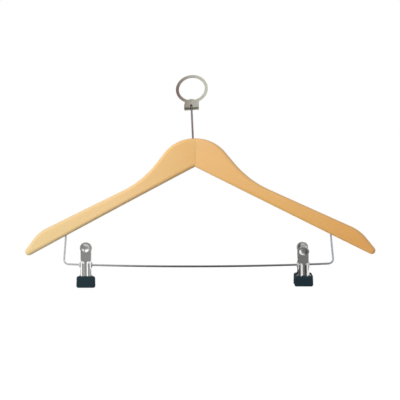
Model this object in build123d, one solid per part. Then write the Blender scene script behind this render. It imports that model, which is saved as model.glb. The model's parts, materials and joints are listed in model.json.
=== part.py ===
from build123d import *
import math
import os

# Trouser hanger with a captive security ring: two contoured wooden arms, a folded sheet ring that
# stays on the rail, a ball headed pin, a wire trouser bar and two sprung clips that slide on it.
# Lengths are in millimetres and angles in degrees. X runs along the hanger, Y from its front to its
# back and Z up. Every piece is laid out about the centre of the pin's ball, and the finished pieces
# move together so that the origin is the centre of the ring's bore.

# Shared fits
overrun = 3.0  # how far a cutting shape runs past the face that it opens
running_gap = 0.05  # radial gap round a shaft that turns in a hole
loose_gap = 0.15  # gap at a pocket that only keeps a piece in place

# Pin with a ball at its top and an upset foot inside the wood
pin_radius = 1.25
ball_radius = 2.05
pin_showing = 38.3  # from the ball's centre down to the crown of the wood
pin_lean = 2.15  # the pin and the ring on it stand off square, the ring to the left
pin_entry = 2.1  # the pin enters the crown this far to the left of the joint
pin_buried = 18.0
foot_radius = 2.2
foot_height = 1.4

# Security ring, stamped and folded from one sheet
ring_bore_radius = 16.3
ring_band = 3.8
ring_sheet = 1.1
ring_bend = 0.8  # inner radius of the folds
ring_foot_width = 17.8
ring_drop = 31.0  # from the bore's centre to the underside of the folded channel
ring_channel = 4.4  # clear depth of the channel that holds the ball
ring_lip = 13.2  # height of the lip in front
ring_lean = 25.3  # the ring's top leans back until the pin stops it
slot_gap = 0.15  # play of the pin in the slot on each side
slot_top = 5.4  # top of the slot in the lip
ball_lift_gap = 0.1  # the ball floats this far off the edges of the slot
slot_back = 0.5  # how far the slot runs in behind the front face of the ring's plate

# Wooden arms
hanger_width = 445.0
wood_thick = 13.0
crown_flat = 1.2  # half of the flat that the pin comes out of
body_height = 35.2  # at the centre, from the crown to the apex of the two lower edges
crown_radius = 47.0
flank_length = 18.0
saddle_radius = 120.0
nose_radius = 50.0
tip_radius = 4.6
edge_round = 4.0
flank_angle = 50.7
arm_top_angle = 24.8
arm_base_angle = 27.0
nose_angle = 51.4
contour_radius = 1040.0  # the arms sweep back on this radius, seen from above
contour_kink = 2.0  # each arm already leans back by this much at the joint
finger_length = 3.6
finger_count = 4

# Trouser bar, bent from one wire
bar_radius = 1.25
bar_drop = 124.6  # from the apex of the wood's lower edges to the middle of the bar
bar_run_half = 164.0
bar_bow_radius = 4390.0  # the run hangs in a shallow bow
bar_corner_radius = 6.0
bar_leg_lean = 5.2
bar_buried = 11.0

# Clips, each held where it was left on the bar
left_clip_inset = 22.2  # from the left end of the bar's run to the middle of the left clip
right_clip_inset = 31.4
left_clip_lean = -3.0  # how far the handles lean to the front
right_clip_lean = 26.0
clip_end_gap = 12.0  # a clip's middle stops this far short of the end of the bar's run
clip_inner_stop = 13.5
clip_width = 15.0  # over the outer ears
clip_sheet = 0.9
ear_gap = 0.3  # side play between the ears of the two jaws
tube_bore_radius = 1.95
tube_wall = 0.55
tube_flare = 0.8  # how far the rolled ends stand out from the tube
tube_flare_thick = 0.5
coil_gap = 0.2  # radial gap between the tube and the spring

# Torsion spring, its wire drawn with flats in place of a round
spring_wire_radius = 0.55
spring_wire_sides = 8
spring_pitch = 1.6
spring_turns = 3.5
spring_leg = 15.0

# Jaws
handle_lean = 4.2
jaw_lean = 3.2
jaw_bend_radius = 8.0
handle_top = 28.7  # height over the pivot
thumb_radius = 7.25
neck_width = 13.0
waist_drop = 5.0  # the full width starts this far above the pivot
plate_end = 27.0  # the sheet ends this far below the pivot
flare_top = 11.8
flare_bottom = 15.6
flare_width = 21.0
thumb_dish_depth = 0.7
thumb_dish_radius = 5.2
rib_spacing = 7.6
rib_width = 4.4
rib_height = 0.9
rib_top = 5.0
ear_height = 10.4
ear_end_radius = 3.6
ear_root = 0.45  # how far an ear runs into the sheet that it is folded from

# Rubber grips moulded round the ends of the jaws
grip_width = 23.8
grip_top = 14.1
grip_bottom = 28.9
grip_front_wall = 2.6
grip_mouth_gap = 0.05  # half of the gap between the two closed grips
grip_corner = 2.6
grip_edge = 1.4
grip_taper = 0.5  # each side draws in by this much towards the top
groove_count = 4
groove_radius = 0.55
groove_margin = 2.4

# Values worked out from the sizes above
slot_half = pin_radius + slot_gap
ball_seat = math.sqrt((ball_radius + ball_lift_gap) ** 2 - slot_half**2)
ball_height = ring_sheet + ball_seat
crown_z = -pin_showing
apex_z = crown_z - body_height
half_width = hanger_width / 2
tube_radius = tube_bore_radius + tube_wall
coil_radius = tube_radius + coil_gap + spring_wire_radius
handle_offset = coil_radius + spring_wire_radius + running_gap
coil_turns = spring_turns - math.radians(handle_lean) / math.pi
bar_middle_z = apex_z - bar_drop
clip_outer_stop = bar_run_half - clip_end_gap
body_shift = pin_entry + pin_showing * math.tan(math.radians(pin_lean))
contour_centre = Vector(
    -contour_radius * math.sin(math.radians(contour_kink)),
    contour_radius * math.cos(math.radians(contour_kink)),
)


def unit(angle):
    """Direction in a plane at an angle from its first axis."""
    return Vector(math.cos(math.radians(angle)), math.sin(math.radians(angle)))


def meet(start, start_angle, other, other_angle):
    """Crossing point of two lines in a plane, each given by a point and an angle."""
    first = unit(start_angle)
    second = unit(other_angle)
    across = first.X * second.Y - first.Y * second.X
    apart = other - start
    return start + first * ((apart.X * second.Y - apart.Y * second.X) / across)


def prism(sketch, low, high):
    """Solid of a sketch drawn in X and Z, from one depth in Y to another."""
    face = Plane((0, low, 0), x_dir=(1, 0, 0), z_dir=(0, 1, 0)) * mirror(sketch, about=Plane.XZ)
    return extrude(face, high - low, dir=(0, 1, 0))


def block(low, high):
    """Box between two corners."""
    low = Vector(low)
    high = Vector(high)
    size = high - low
    return Pos((low + high) * 0.5) * Box(size.X, size.Y, size.Z)


# Security ring: X is its width, the plate's front face is at Y zero and the channel's underside at Z zero
def security_ring():
    """Flat ring with a channel folded forward from its foot, slotted for the pin."""
    outer_radius = ring_bore_radius + ring_band
    half = ring_foot_width / 2
    front = -(ring_channel + ring_sheet)
    centre = Pos(0, ring_drop)
    fold = ring_bend + ring_sheet
    foot = Pos(0, (ring_drop + fold) / 2) * Rectangle(ring_foot_width, ring_drop - fold)
    plate = prism(centre * Circle(outer_radius) + foot, 0, ring_sheet)

    depth = ring_channel + 2 * ring_sheet
    skin = Rectangle(depth, 2 * ring_lip)
    skin = fillet(skin.vertices(), fold)
    hollow = Rectangle(ring_channel, 2 * (ring_lip - ring_sheet))
    hollow = fillet(hollow.vertices(), ring_bend)
    channel = (skin - hollow) & Pos(0, -ring_lip / 2) * Rectangle(depth, ring_lip)
    channel = extrude(Plane.YZ * channel, half, both=True)
    channel = Pos(0, (front + ring_sheet) / 2, ring_lip) * channel
    arch = Pos(0, ring_lip - half) * Circle(half)
    arch += Pos(0, (ring_lip - half) / 2) * Rectangle(ring_foot_width, ring_lip - half)
    channel = channel & prism(arch, front - overrun, ring_sheet + overrun)

    slot_end = slot_back - slot_half
    floor_slot = Pos(0, slot_end) * Circle(slot_half)
    floor_slot += Pos(0, (slot_end + front - overrun) / 2) * Rectangle(
        2 * slot_half, slot_end - front + overrun
    )
    floor_cut = extrude(Plane((0, 0, -overrun)) * floor_slot, overrun + fold)
    lip_slot = Pos(0, slot_top - slot_half) * Circle(slot_half)
    lip_slot += Pos(0, (slot_top - slot_half) / 2) * Rectangle(2 * slot_half, slot_top - slot_half)
    lip_cut = prism(lip_slot, front - overrun, -ring_channel / 2)
    bore = prism(centre * Circle(ring_bore_radius), front - overrun, ring_sheet + overrun)
    return plate + channel - floor_cut - lip_cut - bore


def ring_placed(shape):
    """The ring leans back about the ball, which sits in the middle of its channel."""
    shape = Pos(0, ring_channel / 2, -ball_height) * shape
    return Rot(-ring_lean, 0, 0) * shape


def leaned(shape):
    """A shape about the pin's upright axis, turned to the pin's lean about its ball."""
    return Rot(0, -pin_lean, 0) * shape


def security_pin():
    """Turned pin: ball, stem and the upset foot that stays in the wood."""
    bottom = crown_z - pin_buried
    neck = -math.sqrt(ball_radius**2 - pin_radius**2)
    half_section = Polyline(
        (0, bottom), (foot_radius, bottom), (foot_radius, bottom + foot_height),
        (pin_radius, bottom + foot_height), (pin_radius, neck),
    )
    half_section += ThreePointArc((pin_radius, neck), (ball_radius, 0), (0, ball_radius))
    half_section += Line((0, ball_radius), (0, bottom))
    return revolve(Plane.XZ * make_face(half_section), Axis.Z)


# Wooden arms
def arm_outline():
    """Front outline of the right arm, from the joint to the tip."""
    crown = Vector(crown_flat + crown_radius * math.tan(math.radians(flank_angle / 2)), crown_z)
    turn = math.radians((flank_angle - arm_top_angle) / 2)
    reach = crown_radius * math.tan(math.radians(flank_angle / 2)) + flank_length
    saddle = crown + unit(-flank_angle) * (reach + saddle_radius * math.tan(turn))
    apex = Vector(0, apex_z)
    tip_x = half_width - tip_radius
    base = math.radians(arm_base_angle)
    tip = Vector(tip_x, apex_z - tip_x * math.tan(base) + tip_radius / math.cos(base))
    on_nose = tip + unit(90 - nose_angle) * tip_radius
    point = meet(on_nose, -nose_angle, apex, -arm_base_angle)
    nose = meet(saddle, -arm_top_angle, on_nose, -nose_angle)
    corners = [Vector(0, crown_z), crown, saddle, nose, point, apex]
    edge = FilletPolyline(*corners, radius=[crown_radius, saddle_radius, nose_radius, tip_radius])
    return make_face(edge + Line(apex, corners[0]))


def contour_depth(x):
    """How far back the middle of an arm lies at a place along the hanger."""
    along = abs(x) - contour_centre.X
    return contour_centre.Y - math.sqrt(contour_radius**2 - along**2)


def half_body():
    """Right half of the wooden body, swept back and rounded over, without its joint."""
    low_z = apex_z - half_width
    outer = contour_radius + wood_thick / 2
    inner = contour_radius - wood_thick / 2
    blank = prism(arm_outline(), -wood_thick, contour_depth(half_width) + wood_thick)
    base = Pos(contour_centre.X, contour_centre.Y, low_z)
    blank = (blank & base * extrude(Circle(outer), -low_z)) - base * extrude(Circle(inner), -low_z)
    rims = [edge for edge in blank.edges() if on_rim(edge)]
    return fillet(rims, edge_round)


def on_rim(edge):
    """True for an edge between the outline and the front or back of the arm."""
    middle = edge @ 0.5
    arc = math.hypot(middle.X - contour_centre.X, middle.Y - contour_centre.Y)
    on_face = abs(arc - contour_radius) > wood_thick / 4
    at_joint = max((edge @ 0).X, (edge @ 1).X, middle.X) < crown_flat / 2
    return on_face and not at_joint


def left_side():
    """Space of the left arm: all to the left of the joint, and every second finger across it."""
    half_finger = finger_length / 2
    layer = wood_thick / finger_count
    low_z = apex_z - half_width
    back = contour_depth(half_width) + wood_thick
    space = block((-half_width - overrun, -wood_thick, low_z), (-half_finger, back, 0))
    for index in range(0, finger_count, 2):
        front = -wood_thick / 2 + index * layer
        low = front - overrun if index == 0 else front
        high = front + layer + overrun if index == finger_count - 1 else front + layer
        space += block((-half_finger - overrun, low, low_z), (half_finger, high, 0))
    return space


def bar_path():
    """Points of the bar's middle line in X and Z: end of the run, corner, foot, entry and top of the leg."""
    rise = bar_bow_radius - math.sqrt(bar_bow_radius**2 - bar_run_half**2)
    end = Vector(bar_run_half, bar_middle_z + rise)
    slope = math.degrees(math.asin(bar_run_half / bar_bow_radius))
    hub = end + unit(90 + slope) * bar_corner_radius
    leg_angle = 90 + bar_leg_lean
    leg_foot = hub + unit(leg_angle - 90) * bar_corner_radius
    entry = meet(leg_foot, leg_angle, Vector(0, apex_z), -arm_base_angle)
    top = entry + unit(leg_angle) * bar_buried
    half_turn = hub + unit((slope - 90 + bar_leg_lean) / 2) * bar_corner_radius
    return end, half_turn, leg_foot, entry, top


def bar_depth():
    """Depth of the bar's plane, where its legs enter the middle of the wood."""
    entry = bar_path()[3]
    return contour_depth(entry.X)


def to_bar_plane(point, side=1):
    """A point of the bar's path, in space, on the right or the left side."""
    return Vector(side * point.X, bar_depth(), point.Y)


def bar_hole(side):
    """Drilling for one end of the bar."""
    path = bar_path()
    low = to_bar_plane(path[2], side)
    high = to_bar_plane(path[-1], side)
    along = (high - low).normalized()
    length = (high - low).length + loose_gap
    return extrude(Plane(low, z_dir=along) * Circle(bar_radius + running_gap), length)


def arms():
    """Left and right arm with their finger joint, the pin's bore and pocket, and the bar's holes."""
    half = half_body()
    body = half + mirror(half, about=Plane.YZ)
    bottom = crown_z - pin_buried
    bore = Pos(0, 0, bottom) * extrude(Circle(pin_radius + running_gap), pin_buried + overrun)
    pocket_radius = foot_radius + loose_gap
    pocket = Pos(0, 0, bottom - loose_gap) * extrude(Circle(pocket_radius), foot_height + 2 * loose_gap)
    body -= Pos(-body_shift, 0, 0) * leaned(bore + pocket)
    space = left_side()
    return (body & space) - bar_hole(-1), (body - space) - bar_hole(1)


def trouser_bar():
    """Wire bent to a wide flat U with both ends in the wood."""
    end, half_turn, leg_foot, entry, top = bar_path()
    middle = Vector(0, bar_middle_z)
    pieces = [
        Line(to_bar_plane(top, -1), to_bar_plane(leg_foot, -1)),
        ThreePointArc(to_bar_plane(leg_foot, -1), to_bar_plane(half_turn, -1), to_bar_plane(end, -1)),
        ThreePointArc(to_bar_plane(end, -1), to_bar_plane(middle), to_bar_plane(end)),
        ThreePointArc(to_bar_plane(end), to_bar_plane(half_turn), to_bar_plane(leg_foot)),
        Line(to_bar_plane(leg_foot), to_bar_plane(top)),
    ]
    path = Wire([piece.edge() for piece in pieces])
    start = Plane(path @ 0, z_dir=path % 0)
    return sweep(start * Circle(bar_radius), path=path)


# Clips: about the pivot, with X along the tube, the front jaw at negative Y and the handles up
def pivot_tube():
    """Hollow rivet that runs on the bar, rolled over outside the ears."""
    half = clip_width / 2 + running_gap
    end = half + tube_flare_thick
    flare = tube_radius + tube_flare
    rolled = flare - tube_flare_thick / 2
    wall = Polyline(
        (-end, tube_bore_radius), (end, tube_bore_radius), (end, rolled), (half, flare),
        (half, tube_radius), (-half, tube_radius), (-half, flare), (-end, rolled), close=True,
    )
    return revolve(make_face(wall), Axis.X)


def biarc(start, start_way, end, end_way):
    """Two arcs that leave one point along a direction and reach another along a direction."""
    chord = end - start
    both = start_way + end_way
    bend = 2 * (1 - start_way.dot(end_way))
    along = chord.dot(both)
    reach = (math.sqrt(along**2 + bend * chord.dot(chord)) - along) / bend
    middle = ((start + start_way * reach) + (end - end_way * reach)) * 0.5
    first = Edge.make_tangent_arc(start, start_way, middle)
    return [first, Edge.make_tangent_arc(middle, first % 1, end)]


def coil_point(turn):
    """Point of the coil's middle line after some turns, and its direction there."""
    angle = 2 * math.pi * turn + math.radians(handle_lean)
    x = spring_pitch * (turn - coil_turns / 2)
    point = Vector(x, -coil_radius * math.cos(angle), -coil_radius * math.sin(angle))
    pace = 2 * math.pi * coil_radius
    way = Vector(spring_pitch, pace * math.sin(angle), -pace * math.cos(angle)).normalized()
    return point, way


def torsion_spring():
    """Coil round the tube with a straight leg up the inside of each handle."""
    steps = round(2 * spring_turns)
    stations = [coil_point(coil_turns * index / steps) for index in range(steps + 1)]
    first_point, first_way = stations[0]
    last_point, last_way = stations[-1]
    edges = [Edge.make_line(first_point - first_way * spring_leg, first_point)]
    for (start, start_way), (end, end_way) in zip(stations, stations[1:]):
        edges += biarc(start, start_way, end, end_way)
    edges.append(Edge.make_line(last_point, last_point + last_way * spring_leg))
    path = Wire(edges)
    start = Plane(path @ 0, z_dir=path % 0)
    print(f"spring: least gap between turns {coil_clearance():.2f} mm")
    return sweep(start * RegularPolygon(spring_wire_radius, spring_wire_sides), path=path)


def coil_clearance():
    """Least gap between the wire and itself, over points that are at least half a turn apart."""
    per_turn = 24
    count = round(per_turn * coil_turns)
    points = [coil_point(index / per_turn)[0] for index in range(count)]
    least = min(
        (points[one] - points[other]).length
        for one in range(count)
        for other in range(one + per_turn // 2, count)
    )
    return least - 2 * spring_wire_radius


def jaw_corners():
    """Corners of the sheet's inner side in Y and Z: top of the handle, bend at the pivot, low end."""
    lean = math.radians(handle_lean)
    inner = -handle_offset / math.cos(lean)
    top = Vector(inner - handle_top * math.tan(lean), handle_top)
    bend = Vector(inner, 0)
    low = Vector(inner + plate_end * math.tan(math.radians(jaw_lean)), -plate_end)
    return top, bend, low


def bent_sheet():
    """The bent sheet as wide as the grip, before its outline is cut."""
    path = FilletPolyline(*jaw_corners(), radius=jaw_bend_radius)
    section = offset(Wire(path.edges()), clip_sheet, side=Side.RIGHT, closed=True)
    return extrude(Plane.YZ * make_face(section.edges()), grip_width / 2, both=True)


def front_jaw():
    """Front jaw: thumb pad, neck, ribbed body, flared end and two ears for the tube."""
    plate_width = clip_width - clip_sheet - ear_gap
    shift = (clip_sheet + ear_gap) / 2
    half = plate_width / 2
    neck = neck_width / 2
    flare = flare_width / 2
    outline = Polyline(
        (-flare, -plate_end), (-flare, -flare_bottom), (-half, -flare_top), (-half, waist_drop),
        (-neck, waist_drop + half - neck), (-neck, handle_top - thumb_radius),
        (neck, handle_top - thumb_radius), (neck, waist_drop + half - neck), (half, waist_drop),
        (half, -flare_top), (flare, -flare_bottom), (flare, -plate_end), close=True,
    )
    outline = make_face(outline) + Pos(0, handle_top - thumb_radius) * Circle(thumb_radius)
    top = jaw_corners()[0]
    body = bent_sheet() & prism(outline, top.X - clip_sheet - overrun, 0)
    body = add_ribs(body)
    body = dish_thumb(body)
    body = Pos(shift, 0, 0) * body
    outer_ear = clip_width / 2 - clip_sheet / 2
    inner_ear = -(outer_ear - clip_sheet - ear_gap)
    for place in (outer_ear, inner_ear):
        body = body + ear(place)
    hole = Rot(0, 90, 0) * Cylinder(tube_radius + running_gap, clip_width + overrun)
    return body - hole


def ear(place):
    """One folded ear, a rounded tab that carries the tube."""
    deep = jaw_corners()[1].X - ear_root
    tab = Polyline(
        (deep, -ear_height / 2), (deep, ear_height / 2), (0, ear_end_radius),
        (0, -ear_end_radius), close=True,
    )
    tab = make_face(tab) + Circle(ear_end_radius)
    return Pos(place, 0, 0) * extrude(Plane.YZ * tab, clip_sheet / 2, both=True)


def add_ribs(body):
    """Two lengthwise ribs pressed out of the body, hollow behind."""
    bend, low = jaw_corners()[1:]
    rib_radius = rib_width**2 / (8 * rib_height) + rib_height / 2
    inner_radius = rib_radius - clip_sheet
    sunk = rib_radius - rib_height
    along = (Vector(0, low.X, low.Y) - Vector(0, bend.X, bend.Y)).normalized()
    out = Vector(0, along.Z, -along.Y)
    face = Vector(0, bend.X, bend.Y) + out * (clip_sheet - sunk)
    start = face - along * (rib_top - rib_radius)
    length = plate_end + rib_top - rib_radius
    for side in (-1, 1):
        origin = start + Vector(side * rib_spacing / 2, 0, 0)
        frame = Plane(origin, x_dir=(1, 0, 0), z_dir=along)
        outside = extrude(frame * Circle(rib_radius), length) + Pos(origin) * Sphere(rib_radius)
        inside = extrude(frame * Circle(inner_radius), length) + Pos(origin) * Sphere(inner_radius)
        skin = Plane(Vector(0, bend.X, bend.Y) + out * (clip_sheet / 2), x_dir=(1, 0, 0), z_dir=out)
        keep = extrude(skin * Rectangle(grip_width, 2 * (plate_end + overrun)), rib_radius)
        above_end = block((-grip_width, -grip_width, -plate_end), (grip_width, grip_width, handle_top))
        body = body + (outside & keep & above_end) - inside
    return body


def dish_thumb(body):
    """Shallow dish in the thumb pad, pressed from outside."""
    lean = math.radians(handle_lean)
    top = jaw_corners()[0]
    down = Vector(0, math.sin(lean), -math.cos(lean))
    out = Vector(0, -math.cos(lean), -math.sin(lean))
    middle = Vector(0, top.X, top.Y) + down * (thumb_radius / math.cos(lean)) + out * clip_sheet
    ball = thumb_dish_radius**2 / (2 * thumb_dish_depth) + thumb_dish_depth / 2
    centre = middle + out * (ball - thumb_dish_depth)
    bulge = Pos(centre) * Sphere(ball + clip_sheet)
    back = Plane(middle - out * (clip_sheet / 2), z_dir=out * -1)
    bulge = bulge & extrude(back * Circle(thumb_radius), thumb_radius)
    return body + bulge - Pos(centre) * Sphere(ball)


def front_grip(jaw):
    """Rubber boot round the end of a jaw, with grooves across its gripping face."""
    front = jaw_corners()[2].X - clip_sheet - grip_front_wall
    half = grip_width / 2
    tall = grip_bottom - grip_top
    outline = Polyline(
        (-half, -grip_bottom), (half, -grip_bottom), (half - grip_taper, -grip_top),
        (-half + grip_taper, -grip_top), close=True,
    )
    outline = make_face(outline)
    outline = fillet(outline.vertices(), grip_corner)
    boot = prism(outline, front, -grip_mouth_gap)
    rim = [edge for edge in boot.edges() if abs(edge.center().Y - front) < grip_edge / 2]
    boot = fillet(rim, grip_edge)
    shift = (clip_sheet + ear_gap) / 2
    boot = Pos(shift, 0, 0) * boot
    pace = (tall - 2 * groove_margin) / (groove_count - 1)
    for index in range(groove_count):
        height = -grip_bottom + groove_margin + index * pace
        groove = Rot(0, 90, 0) * Cylinder(groove_radius, grip_width + overrun)
        boot = boot - Pos(0, -grip_mouth_gap, height) * groove
    return boot - jaw


def slide_height(x):
    """Height of the straight line that a clip's middle follows beside the bow of the bar."""
    def bow(place):
        return bar_middle_z + bar_bow_radius - math.sqrt(bar_bow_radius**2 - place**2)

    span = clip_outer_stop - clip_inner_stop
    chord = bow(clip_inner_stop) + (bow(clip_outer_stop) - bow(clip_inner_stop)) * (
        abs(x) - clip_inner_stop
    ) / span
    middle = (clip_outer_stop + clip_inner_stop) / 2
    sagitta = (bow(clip_inner_stop) + bow(clip_outer_stop)) / 2 - bow(middle)
    return chord - sagitta / 2


def build():
    """All pieces in place about the ball, by name."""
    left_arm, right_arm = arms()
    aside = Pos(body_shift, 0, 0)
    pieces = {
        "security_ring": leaned(ring_placed(security_ring())),
        "security_pin": leaned(security_pin()),
        "left_arm": aside * left_arm,
        "right_arm": aside * right_arm,
        "trouser_bar": aside * trouser_bar(),
    }
    tube = pivot_tube()
    spring = torsion_spring()
    jaw = front_jaw()
    grip = front_grip(jaw)
    turned = Rot(0, 0, 180)
    clips = {
        "left": (left_clip_inset - bar_run_half, left_clip_lean),
        "right": (bar_run_half - right_clip_inset, right_clip_lean),
    }
    for side, (place, lean) in clips.items():
        pivot = aside * Pos(place, bar_depth(), slide_height(place))
        hung = pivot * Rot(lean, 0, 0)
        print(f"{side} clip pivot {pivot.position + ball_place()}")
        pieces[f"{side}_pivot_tube"] = pivot * tube
        pieces[f"{side}_torsion_spring"] = hung * spring
        pieces[f"{side}_front_jaw"] = hung * jaw
        pieces[f"{side}_rear_jaw"] = hung * turned * jaw
        pieces[f"{side}_front_grip"] = hung * grip
        pieces[f"{side}_rear_grip"] = hung * turned * grip
    return pieces


def ball_place():
    """Centre of the ball, seen from the centre of the ring's bore."""
    bore = Pos(0, (ring_channel + ring_sheet) / 2, ring_drop - ball_height)
    return leaned(Rot(-ring_lean, 0, 0) * bore).position * -1


os.makedirs("parts", exist_ok=True)
ball = ball_place()
print(f"ball centre {ball}, crown {ball.Z + crown_z:.3f}, apex {ball.Z + apex_z:.3f}")
for name, shape in build().items():
    export_step(Pos(ball) * shape, f"parts/{name}.step")
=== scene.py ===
import json
import logging
import math
from dataclasses import dataclass, field
from enum import Enum
from typing import Any, Callable, Sequence

import bmesh
import bpy
import numpy as np
from mathutils import Matrix, Vector
from mathutils.geometry import delaunay_2d_cdt


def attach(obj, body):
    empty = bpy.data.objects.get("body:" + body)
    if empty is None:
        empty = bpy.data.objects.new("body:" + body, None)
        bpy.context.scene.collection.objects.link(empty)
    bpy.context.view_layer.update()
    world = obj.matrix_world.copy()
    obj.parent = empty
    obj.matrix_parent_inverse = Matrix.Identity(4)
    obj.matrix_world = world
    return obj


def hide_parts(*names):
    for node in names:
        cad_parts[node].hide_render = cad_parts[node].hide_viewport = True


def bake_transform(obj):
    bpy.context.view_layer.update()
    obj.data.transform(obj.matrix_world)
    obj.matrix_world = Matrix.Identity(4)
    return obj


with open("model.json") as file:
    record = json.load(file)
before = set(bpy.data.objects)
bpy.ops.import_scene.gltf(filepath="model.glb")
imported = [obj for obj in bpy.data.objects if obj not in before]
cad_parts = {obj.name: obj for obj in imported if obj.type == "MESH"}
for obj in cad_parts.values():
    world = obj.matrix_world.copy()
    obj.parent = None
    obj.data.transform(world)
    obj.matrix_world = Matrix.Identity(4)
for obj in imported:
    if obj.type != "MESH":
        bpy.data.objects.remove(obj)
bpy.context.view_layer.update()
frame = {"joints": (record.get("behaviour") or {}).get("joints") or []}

# Trouser hanger with a captive security ring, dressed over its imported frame. Sizes are in millimetres
# and angles in degrees. X runs along the hanger, Y from its front to its back and Z up.
MM = 0.001
METRES = Matrix.Diagonal((MM, MM, MM, 1))
FULL_TURN = 2 * math.pi
TINY = 1e-6
SLIVER = 1e-5
log = logging.getLogger("trouser_hanger")

Point = tuple[float, float]
Triple = tuple[float, float, float]
Faces = list[tuple[int, ...]]


class Side(Enum):
    """The two sides of the hanger, as seen from the front."""

    LEFT = "left"
    RIGHT = "right"


class Cut(Enum):
    """What is kept of a solid where another one crosses it."""

    INSIDE = "INTERSECT"
    OUTSIDE = "DIFFERENCE"


def joint_place(name: str) -> Vector:
    """Place of a joint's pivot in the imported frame."""
    found = next(joint for joint in frame["joints"] if joint["name"] == name)
    return Vector(found["pos_m"]) / MM


def spun(axis: str, degrees: float) -> Matrix:
    """Turn about one axis, as a matrix of four rows."""
    return Matrix.Rotation(math.radians(degrees), 4, axis)


def shifted(*place: float) -> Matrix:
    """Move by three lengths, as a matrix."""
    return Matrix.Translation(Vector(place))


def in_metres(place: Matrix) -> Matrix:
    """Same move, for a mesh that is in metres already."""
    return METRES @ place @ METRES.inverted()


def way(angle: float) -> Vector:
    """Direction at an angle in a plane."""
    return Vector((math.cos(math.radians(angle)), math.sin(math.radians(angle))))


def meet(one: Vector, one_angle: float, two: Vector, two_angle: float) -> Vector:
    """Finds where two lines in a plane cross.

    Args:
        one: A point of the first line.
        one_angle: Its direction.
        two: A point of the second line.
        two_angle: Its direction.

    Returns:
        The crossing.
    """
    first, second, apart = way(one_angle), way(two_angle), two - one
    across = first.x * second.y - first.y * second.x
    return one + first * ((apart.x * second.y - apart.y * second.x) / across)


# Outlines and closed surfaces
class Trace:
    """Outline in a plane, drawn from straight runs and arcs with its material on the left."""

    def __init__(self, spacing: float, turn: float = 7.5) -> None:
        """Starts an outline.

        Args:
            spacing: Longest step along a straight run.
            turn: Largest step round an arc.
        """
        self.spacing = spacing
        self.turn = math.radians(turn)
        self.points: list[Point] = []

    def to(self, x: float, y: float) -> "Trace":
        """Draws a straight run.

        Args:
            x: First coordinate of its end.
            y: Second coordinate of its end.

        Returns:
            The same outline.
        """
        if self.points:
            start_x, start_y = self.points[-1]
            length = math.dist(self.points[-1], (x, y))
            if length < TINY:
                return self
            steps = max(1, math.ceil(length / self.spacing))
            for step in range(1, steps):
                part = step / steps
                self.points.append((start_x + (x - start_x) * part, start_y + (y - start_y) * part))
        self.points.append((x, y))
        return self

    def arc(self, x: float, y: float, radius: float, start: float, end: float) -> "Trace":
        """Draws an arc, after a straight run to its start.

        Args:
            x: First coordinate of the centre.
            y: Second coordinate of the centre.
            radius: Its radius.
            start: Angle of its start.
            end: Angle of its end.

        Returns:
            The same outline.
        """
        low, high = math.radians(start), math.radians(end)
        sweep = abs(high - low)
        steps = max(2, math.ceil(sweep / self.turn), math.ceil(sweep * radius / self.spacing))
        self.to(x + radius * math.cos(low), y + radius * math.sin(low))
        for step in range(1, steps + 1):
            angle = low + (high - low) * step / steps
            self.points.append((x + radius * math.cos(angle), y + radius * math.sin(angle)))
        return self

    def corners(self, corners: Sequence[Triple], closed: bool) -> "Trace":
        """Draws runs between corners, each rounded by its own radius.

        Args:
            corners: First and second coordinate and radius of each corner.
            closed: Whether the outline returns to its first corner.

        Returns:
            The same outline.
        """
        count = len(corners)
        for index, (x, y, radius) in enumerate(corners):
            if radius <= 0 or (not closed and index in (0, count - 1)):
                self.to(x, y)
                continue
            here = Vector((x, y))
            before = (here - Vector(corners[index - 1][:2])).normalized()
            after = (Vector(corners[(index + 1) % count][:2]) - here).normalized()
            bend = math.atan2(before.x * after.y - before.y * after.x, before.dot(after))
            start = here - before * radius * math.tan(abs(bend) / 2)
            centre = start + Vector((-before.y, before.x)) * math.copysign(1, bend) * radius
            first = math.degrees(math.atan2(start.y - centre.y, start.x - centre.x))
            self.arc(centre.x, centre.y, radius, first, first + math.degrees(bend))
        if closed:
            self.to(*self.points[0])
            self.points.pop()
        return self

    def loop(self) -> np.ndarray:
        """Points of the closed outline, without the first one again at the end."""
        self.to(*self.points[0])
        return np.array(self.points[:-1])

    def line(self) -> np.ndarray:
        """Points of the outline as it is."""
        return np.array(self.points)


def disc_loop(x: float, y: float, radius: float, spacing: float) -> np.ndarray:
    """Outline of a round hole, with the material outside of it."""
    return Trace(spacing).arc(x, y, radius, 360, 0).line()[:-1]


@dataclass
class Shell:
    """Closed surface before it becomes a mesh: points in millimetres and the faces between them."""

    points: np.ndarray
    faces: Faces

    @classmethod
    def taken(cls, mesh: bpy.types.Mesh) -> "Shell":
        """Reads the surface of a mesh in metres.

        Args:
            mesh: The mesh.

        Returns:
            Its surface.
        """
        points = np.empty(len(mesh.vertices) * 3)
        mesh.vertices.foreach_get("co", points)
        return cls(points.reshape(-1, 3) / MM, [tuple(face.vertices) for face in mesh.polygons])

    def warped(self, bend: Callable[[np.ndarray], np.ndarray]) -> "Shell":
        """Same surface, each point moved by a rule."""
        return Shell(bend(self.points), self.faces)

    def moved(self, place: Matrix) -> "Shell":
        """Same surface, moved as a whole."""
        rows = np.array(place)
        return Shell(self.points @ rows[:3, :3].T + rows[:3, 3], self.faces)

    def mesh(self, name: str) -> bpy.types.Mesh:
        """Makes a mesh in metres, with its doubles merged and its faces outwards.

        Args:
            name: The mesh's name.

        Returns:
            The mesh.
        """
        made = bpy.data.meshes.new(name)
        made.from_pydata((self.points * MM).tolist(), [], self.faces)
        work = bmesh.new()
        work.from_mesh(made)
        bmesh.ops.remove_doubles(work, verts=work.verts, dist=1e-7)
        bmesh.ops.recalc_face_normals(work, faces=work.faces)
        work.to_mesh(made)
        work.free()
        return made


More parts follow.
